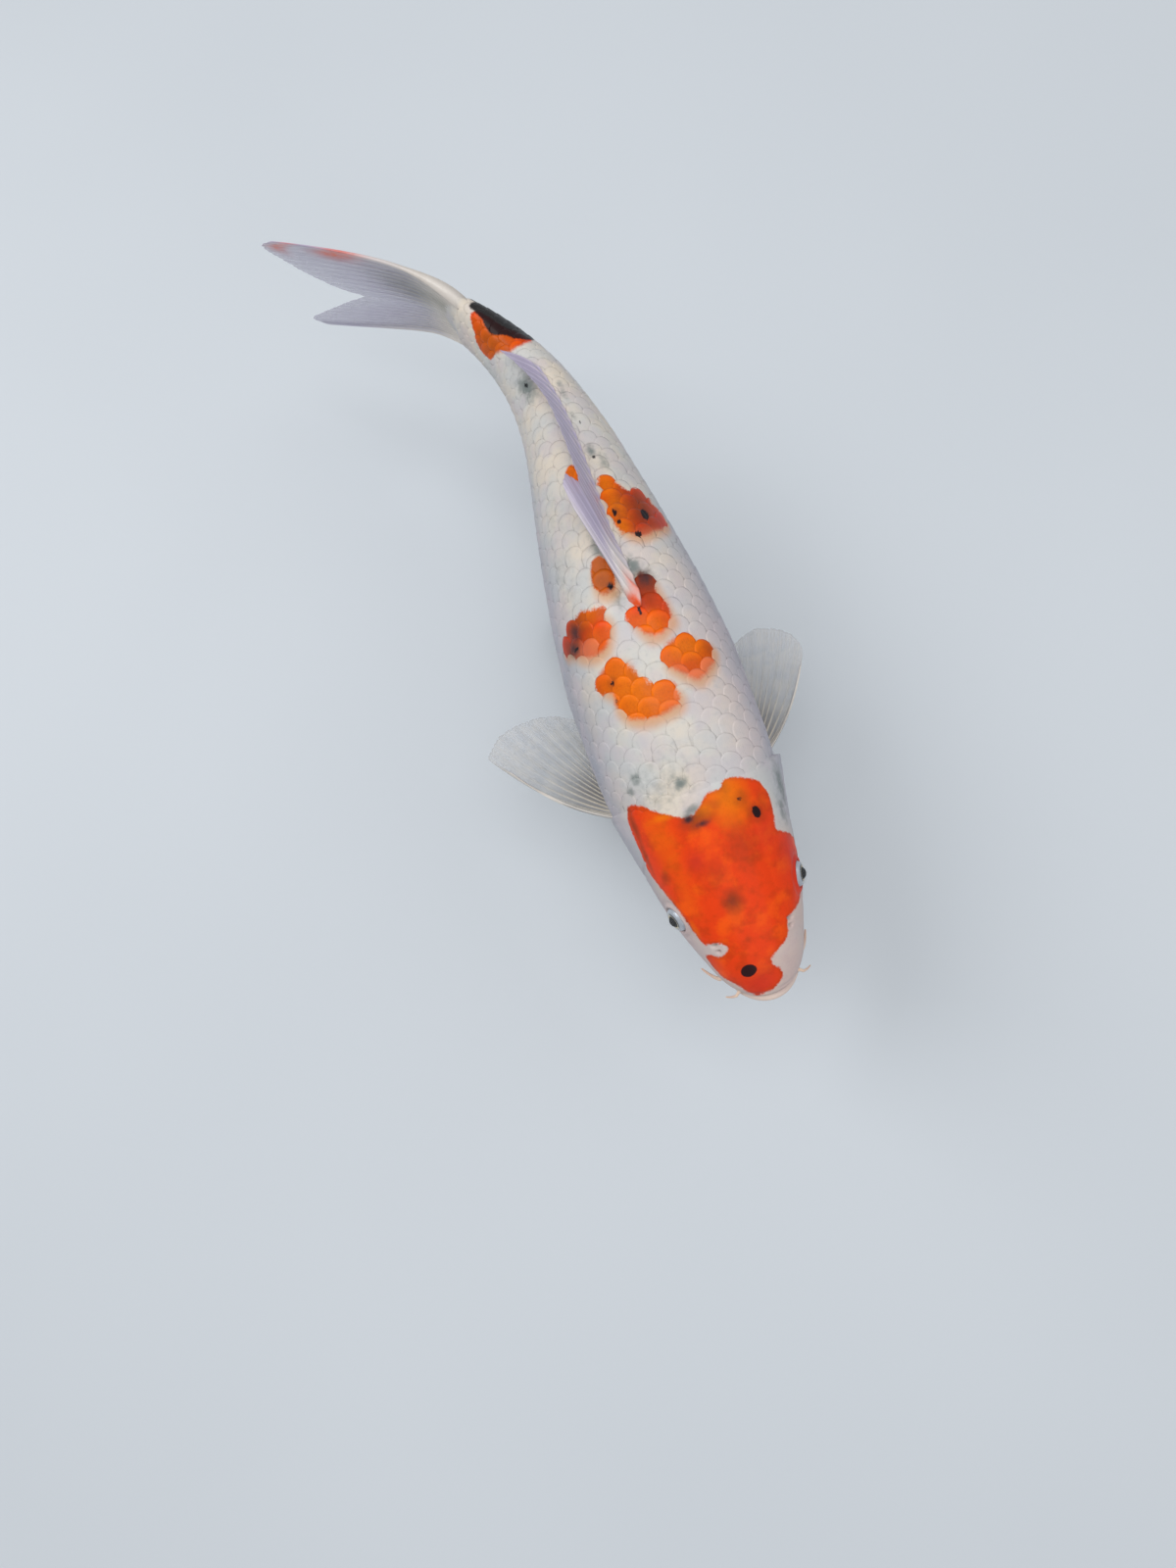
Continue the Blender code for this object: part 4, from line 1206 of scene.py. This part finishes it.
VERMILION = (0.82, 0.052, 0.005)
ORANGE = (0.95, 0.105, 0.004)
AMBER = (0.9, 0.185, 0.001)
DARK_AMBER = (0.52, 0.105, 0.001)
OCHRE = (0.62, 0.28, 0.035)
RUST = (0.46, 0.04, 0.003)
CRIMSON = (0.62, 0.032, 0.018)
UMBER = (0.17, 0.034, 0.008)
SUMI = (0.006, 0.006, 0.009)
SOOT = (0.03, 0.02, 0.026)
SMUDGE_AND_SHADE = (0.17, 0.2, 0.19)
CREAM = (0.71, 0.63, 0.53)
COOL_WHITE = (0.59, 0.59, 0.57)
BLUSH = (0.72, 0.57, 0.56)
LILAC_GREY = (0.31, 0.32, 0.41)
FACE = (0.6, 0.43, 0.4)
LIP = (0.78, 0.62, 0.53)


def pale_ground(n, scaled):
    """The pearly white under the pigments, with its hazes, grey smudges and painted shade: the
    lilac grey along the flanks is painted shade, and so are the grey smudges beside the dorsal
    fin's root and on the left gill cover.
    """
    broad = n.noise(26.0)
    # painted shade: the lilac grey along the flanks
    flank = (n["shadow"] + n.noise(14.0).spread(0.35)).clamped() * n["shadow"]
    # the grey smudges, partly painted shade beside the dorsal fin's root and on the left gill
    # cover
    cloud = (n["smudge_and_shade"] + n.noise(3.0, 5.0).spread(1.5)).step(0.15, 0.95) * n["smudge_and_shade"]
    ground = n.layers(
        n.mix(broad.step(0.35, 0.65), CREAM, COOL_WHITE),
        (n["blush"] * 0.55, BLUSH),
        (flank * 0.72, LILAC_GREY),
        (n.noise(8.0, 5.0).step(0.46, 0.72) * 0.3, (0.48, 0.48, 0.52)),
        (n.noise(2.2, 5.0).step(0.52, 0.74) * 0.26, (0.36, 0.38, 0.38)),
        (n.noise(15.0, 5.0).step(0.46, 0.62) * 0.36, (0.58, 0.5, 0.54)),
        ((cloud * 0.95).clamped(), SMUDGE_AND_SHADE),
    )
    if scaled:
        return n.mix(n["edge"].step(0.75, 0.0) * 0.02, ground, (0.2, 0.19, 0.19))
    vein = (n.noise(6.0) - 0.5).size().step(0.03, 0.0)
    return n.layers(
        ground,
        (n["face"] * n.noise(8.0, 4.0).to(0.3, 0.95), FACE),
        (vein * 0.1, (0.4, 0.3, 0.36)),
        (n["lip"] * 0.6, LIP),
    )


def red_pigment(n, fine, middle, scaled):
    """Vermilion, with amber, crimson and umber parts, and a darker heart on each scale."""
    amber = (n["amber"] + middle.spread(0.35)).clamped() * n["amber"].step(0.02, 0.3)
    umber = (n["umber"] + middle.spread(0.6)).clamped() * n["umber"].step(0.02, 0.3)
    red = n.layers(
        VERMILION,
        (n.noise(7.0, 4.0).step(0.44, 0.7) * 0.5, RUST),
        (n.noise(13.0, 4.0).step(0.47, 0.68) * 0.75, ORANGE),
        (amber, AMBER),
        (n["crimson"], CRIMSON),
    )
    if scaled:
        heart = (n["edge"].step(1.2, 4.2) * fine.to(0.15, 0.75)).clamped()
        red = n.mix(heart, red, n.mix(amber, RUST, DARK_AMBER))
    red = n.layers(red, ((umber * 0.85).clamped(), UMBER), (fine.step(0.5, 0.8) * 0.2, RUST))
    if not scaled:
        return red
    rim = n["edge"].step(0.75, 0.0) * 0.25
    return n.layers(red, (rim, (0.34, 0.035, 0.004)), (n["front"] * 0.42, (0.84, 0.29, 0.15)))


def skin_material(name, scaled):
    """Wet koi skin, with the pigments laid over a pearly white ground."""
    n = Nodes(name)
    fine, middle = n.noise(0.9, 4.0), n.noise(4.0, 4.0)
    ground, red = pale_ground(n, scaled), red_pigment(n, fine, middle, scaled)
    patch = n["patch"] + fine.spread(1.8) + middle.spread(2.2)
    border = (patch.step(1.9, 0.5) * middle.to(0.15, 0.85)).clamped() * (0.25 if scaled else 0.6)
    soft_patch = patch * n["soft"].to(1.0, 0.38)
    soot = (n["soot"] + n.noise(2.4, 4.0).spread(0.9)).step(0.1, 0.95) * n["soot"]
    ink = (n["sumi"] + fine.spread(0.45) + middle.spread(0.3)).step(0.25, 0.62)
    color = n.layers(
        ground,
        (n["veil"], n.mix(0.75, red, OCHRE)),
        (soft_patch.step(-0.55, 0.55), n.mix(border, red, (0.36, 0.052, 0.006))),
        (soot.clamped(), SOOT),
        (ink * 0.97, SUMI),
    )
    grain = fine * 0.5
    if scaled:
        tone = n["tone"].step(-1.6, 1.6) * 0.1
        color = n.mix(tone, color, (0.72, 0.73, 0.76), blend="MULTIPLY")
        color = n.mix(n["canal"] * 0.35, color, (0.25, 0.22, 0.2))
        rings = (n["ring"] * (2 * math.pi / 0.4)).sine()
        grain = grain + rings * 0.1 + (n["side"] * 34.0).sine() * 0.06
    else:
        # painted shade: darker brown in the skin's hollows
        color = n.mix(n["hollow"] * 0.75, color, n.mix(0.8, color, (0.1, 0.055, 0.05)))
        grain = grain + n.noise(2.6) * 0.8
    return n.finish(
        grain, 0.12 if scaled else 0.1, 0.55, Base_Color=color, Roughness=middle.to(0.38, 0.54),
        Coat_Weight=0.09, Coat_Roughness=0.14, IOR=1.36, Specular_IOR_Level=0.2,
    )


def fin_material(name):
    """Translucent membrane between jointed rays."""
    n = Nodes(name)
    ridge, along, cloud = n["ridge"], n["along"], n.noise(6.0, 4.0)
    film = n.mix(cloud.step(0.3, 0.7), (0.62, 0.61, 0.6), (0.53, 0.55, 0.59))
    film = n.mix(n["lilac"], film, (0.51, 0.45, 0.62))
    joints = (along * 190.0).sine().step(0.6, 0.95) * ridge * along.step(0.95, 0.25)
    rays = n.mix(n.noise(3.0).step(0.3, 0.7), (0.76, 0.68, 0.55), (0.68, 0.6, 0.47))
    rays = n.mix(joints * 0.16, rays, (0.42, 0.35, 0.27))
    inner = along.step(0.2, 0.7).to(1.0, 0.12) * n["lilac"].to(1.0, 0.35)
    olive = (n["olive"] * cloud.to(0.5, 1.1)).clamped()
    color = n.layers(
        film,
        (ridge.step(0.15, 0.75) * inner, rays),
        (n["dusk"] * 0.85, (0.16, 0.145, 0.14)),
        (n["cream"], (0.76, 0.7, 0.64)),
        (olive * 0.85, (0.13, 0.14, 0.11)),
        ((n["red"] * n.noise(2.5, 4.0).to(0.5, 1.5)).clamped(), (0.8, 0.085, 0.01)),
    )
    return n.finish(
        joints * -0.5 + n.noise(0.8), 0.08, 0.5, Base_Color=color,
        Alpha=(n["cover"] * n.noise(5.0, 2.0).to(0.9, 1.1)).clamped(),
        Roughness=cloud.to(0.26, 0.42), Coat_Weight=0.35, Coat_Roughness=0.15, IOR=1.4,
    )


def eye_material():
    n = Nodes("carp_eyeball")
    radial, cloud, streaks = n["radial"], n.noise(0.9, 4.0), (n["spoke"] * 61.0).sine()
    ring = (radial - (PUPIL + 0.2)).size().step(0.3, 0.05)
    lid = (n["upward"] + cloud.spread(0.5)).step(0.15, 0.6)
    lid = lid * radial.step(PUPIL + 0.25, PUPIL + 0.7)
    rim = (radial + cloud.spread(0.7)).step(IRIS - 0.85, IRIS - 0.25)
    pupil = radial.step(PUPIL + 0.05, PUPIL - 0.08) * n["depth"].step(0.0, 0.5)
    color = n.layers(
        n.mix(cloud.step(0.35, 0.7), (0.62, 0.62, 0.6), (0.34, 0.33, 0.32)),
        (streaks.to(0.06, 0.14), (0.75, 0.66, 0.46)),
        (ring * 0.75, (0.8, 0.62, 0.3)),
        (lid * 0.9, (0.035, 0.035, 0.045)),
        (rim * 0.9, (0.52, 0.56, 0.62)),
        (pupil, (0.004, 0.004, 0.005)),
    )
    return n.finish(
        cloud + streaks * 0.15, 0.1, 0.6, Base_Color=color, Metallic=pupil.to(0.45, 0.0),
        Roughness=cloud.to(0.25, 0.4), IOR=1.2, Specular_IOR_Level=0.1,
    )


def cornea_material():
    n = Nodes("carp_cornea")
    return n.finish(
        Base_Color=n.mix(n.noise(2.0), (0.85, 0.88, 0.9), (0.78, 0.82, 0.86)),
        Alpha=n.noise(3.0, 2.0).to(0.02, 0.04), Roughness=0.04, Coat_Weight=1.0,
        Coat_Roughness=0.02, IOR=1.38, Specular_IOR_Level=1.0,
    )


def barbel_material():
    n = Nodes("carp_barbel")
    cloud = n.noise(1.2, 4.0)
    color = n.mix(n["along"].step(0.0, 0.6), (0.8, 0.6, 0.46), (0.76, 0.48, 0.34))
    color = n.mix(cloud.step(0.5, 0.75) * 0.4, color, (0.62, 0.28, 0.16))
    return n.finish(
        n.noise(0.5), 0.06, 0.5, Base_Color=color, Roughness=cloud.to(0.28, 0.42),
        Coat_Weight=0.4, Coat_Roughness=0.15, IOR=1.4,
    )


def base_material():
    """Satin powder coat with a fine orange-peel grain."""
    n = Nodes("stand_coating")
    cloud, grain = n.noise(18.0), n.noise(0.45, 2.0)
    color = n.mix(cloud.step(0.3, 0.7), (0.07, 0.072, 0.076), (0.088, 0.089, 0.092))
    color = n.mix(grain.step(0.45, 0.75) * 0.5, color, (0.12, 0.12, 0.125))
    return n.finish(grain, 0.07, 0.7, Base_Color=color, Roughness=grain.to(0.4, 0.55), IOR=1.5)


def rod_material():
    """Steel brushed round the rod."""
    n = Nodes("stand_steel")
    brush = n.noise(0.6, stretch=(0.25, 0.25, 6.0))
    color = n.mix(brush.step(0.3, 0.7), (0.6, 0.6, 0.61), (0.46, 0.46, 0.475))
    rough = brush.to(0.2, 0.36)
    return n.finish(brush, 0.02, 0.5, Base_Color=color, Metallic=1.0, Roughness=rough)


def floor_material():
    n = Nodes("studio_floor")
    cloud = n.noise(400.0, 2.0).step(0.3, 0.7)
    return n.finish(Base_Color=n.mix(cloud, (0.6, 0.64, 0.68), (0.62, 0.66, 0.7)), Roughness=0.7)


# ---- putting it together

COAT_PIECES = (
    ("scales_shoulder", 0.0, 0.37), ("scales_back", 0.37, 0.49), ("scales_flank", 0.49, 0.63),
    ("scales_rear", 0.63, 0.8), ("scales_stalk", 0.8, 1.1),
)


def build_fish():
    skin_look, coat_look = skin_material("koi_skin", False), skin_material("koi_scales", True)
    flesh = ("head", "lower_jaw", "gill_cover_left", "gill_cover_right", "trunk", "tail_stalk")
    place_piece(build_skin(), skin_look, "skin", *flesh)
    roots = scale_roots()
    for seed, (name, start, end) in enumerate(COAT_PIECES):
        chosen = roots[(roots[:, 0] >= start) & (roots[:, 0] < end)]
        place_piece(build_scales(name, chosen, seed), coat_look, "skin")
    fins = fin_material("koi_fins")
    for kind, build in (("dorsal", build_dorsal), ("anal", build_anal), ("tail", build_tail)):
        place_piece(build(), fins, "fins", f"{kind}_fin")
    eyes, cornea, barbels = eye_material(), cornea_material(), barbel_material()
    for side in SIDES:
        for kind in ("pectoral", "pelvic"):
            place_piece(build_paired(kind, side), fins, "fins", f"{kind}_fin_{side}")
        ball, dome = build_eye(side)
        place_piece(ball, eyes, "eyes", f"eye_{side}")
        place_piece(dome, cornea, "eyes")
        for kind in BARBELS:
            place_piece(build_barbel(kind, side), barbels, "barbels", f"barbel_{kind}_{side}")


def finish_stand():
    coating, steel = base_material(), rod_material()
    looks = {"stand_base": coating, "stand_rod_front": steel, "stand_rod_rear": steel}
    for name, look in looks.items():
        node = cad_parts[name]
        node.data.materials.clear()
        node.data.materials.append(look)


# Where the camera stands from the snout, the way it looks, and its top.
CAMERA_FROM_SNOUT = Vector((-0.0299, 0.0176, 0.521))
CAMERA_LOOKS = Vector((-0.0256, 0.1886, -0.9817))
CAMERA_TOP = Vector((0.3575, 0.9188, 0.1672))
LENS = 27.05  # on a sensor 36 mm high

# Each lamp: where it stands, its size, and its power in watts.
LAMPS = (
    ((-0.9, 0.7, 1.5), 1.0, 13.0), ((0.1, -0.1, 1.8), 1.1, 11.0), ((1.2, 0.2, 1.3), 1.0, 3.5),
    ((0.2, -1.5, 1.1), 1.2, 3.5),
)
LAMPS_AIM = Vector((0.0, 0.0, 0.1))
FLOOR_HALF = 40.0


def build_camera():
    data = bpy.data.cameras.new("camera")
    data.sensor_fit = "VERTICAL"
    data.sensor_height = 36.0
    data.lens = LENS
    data.clip_start = 0.01
    camera = put_in_scene("camera", data)
    look = CAMERA_LOOKS.normalized()
    right = look.cross(CAMERA_TOP).normalized()
    turn = Matrix((right, right.cross(look), -look)).transposed().to_4x4()
    camera.matrix_world = Matrix.Translation(Vector(SNOUT_AT) + CAMERA_FROM_SNOUT) @ turn
    bpy.context.scene.camera = camera


def build_studio():
    corners = FLOOR_HALF * np.array([(-1.0, -1, 0), (1, -1, 0), (1, 1, 0), (-1, 1, 0)])
    floor = make_mesh("studio_floor", corners, [np.array([[0, 1, 2, 3]])])
    floor.data.materials.append(floor_material())
    for number, (at, size, power) in enumerate(LAMPS):
        data = bpy.data.lights.new(f"lamp_{number}", "AREA")
        data.size, data.energy = size, power
        lamp = put_in_scene(data.name, data)
        lamp.location = at
        lamp.rotation_euler = (LAMPS_AIM - Vector(at)).to_track_quat("-Z", "Y").to_euler()
    world = bpy.data.worlds.new("studio")
    world.use_nodes = True
    background = world.node_tree.nodes["Background"]
    background.inputs["Color"].default_value = (0.93, 0.96, 1.0, 1.0)
    background.inputs["Strength"].default_value = 0.34
    bpy.context.scene.world = world
    bpy.context.scene.view_settings.view_transform = "Standard"


build_fish()
finish_stand()
build_camera()
build_studio()
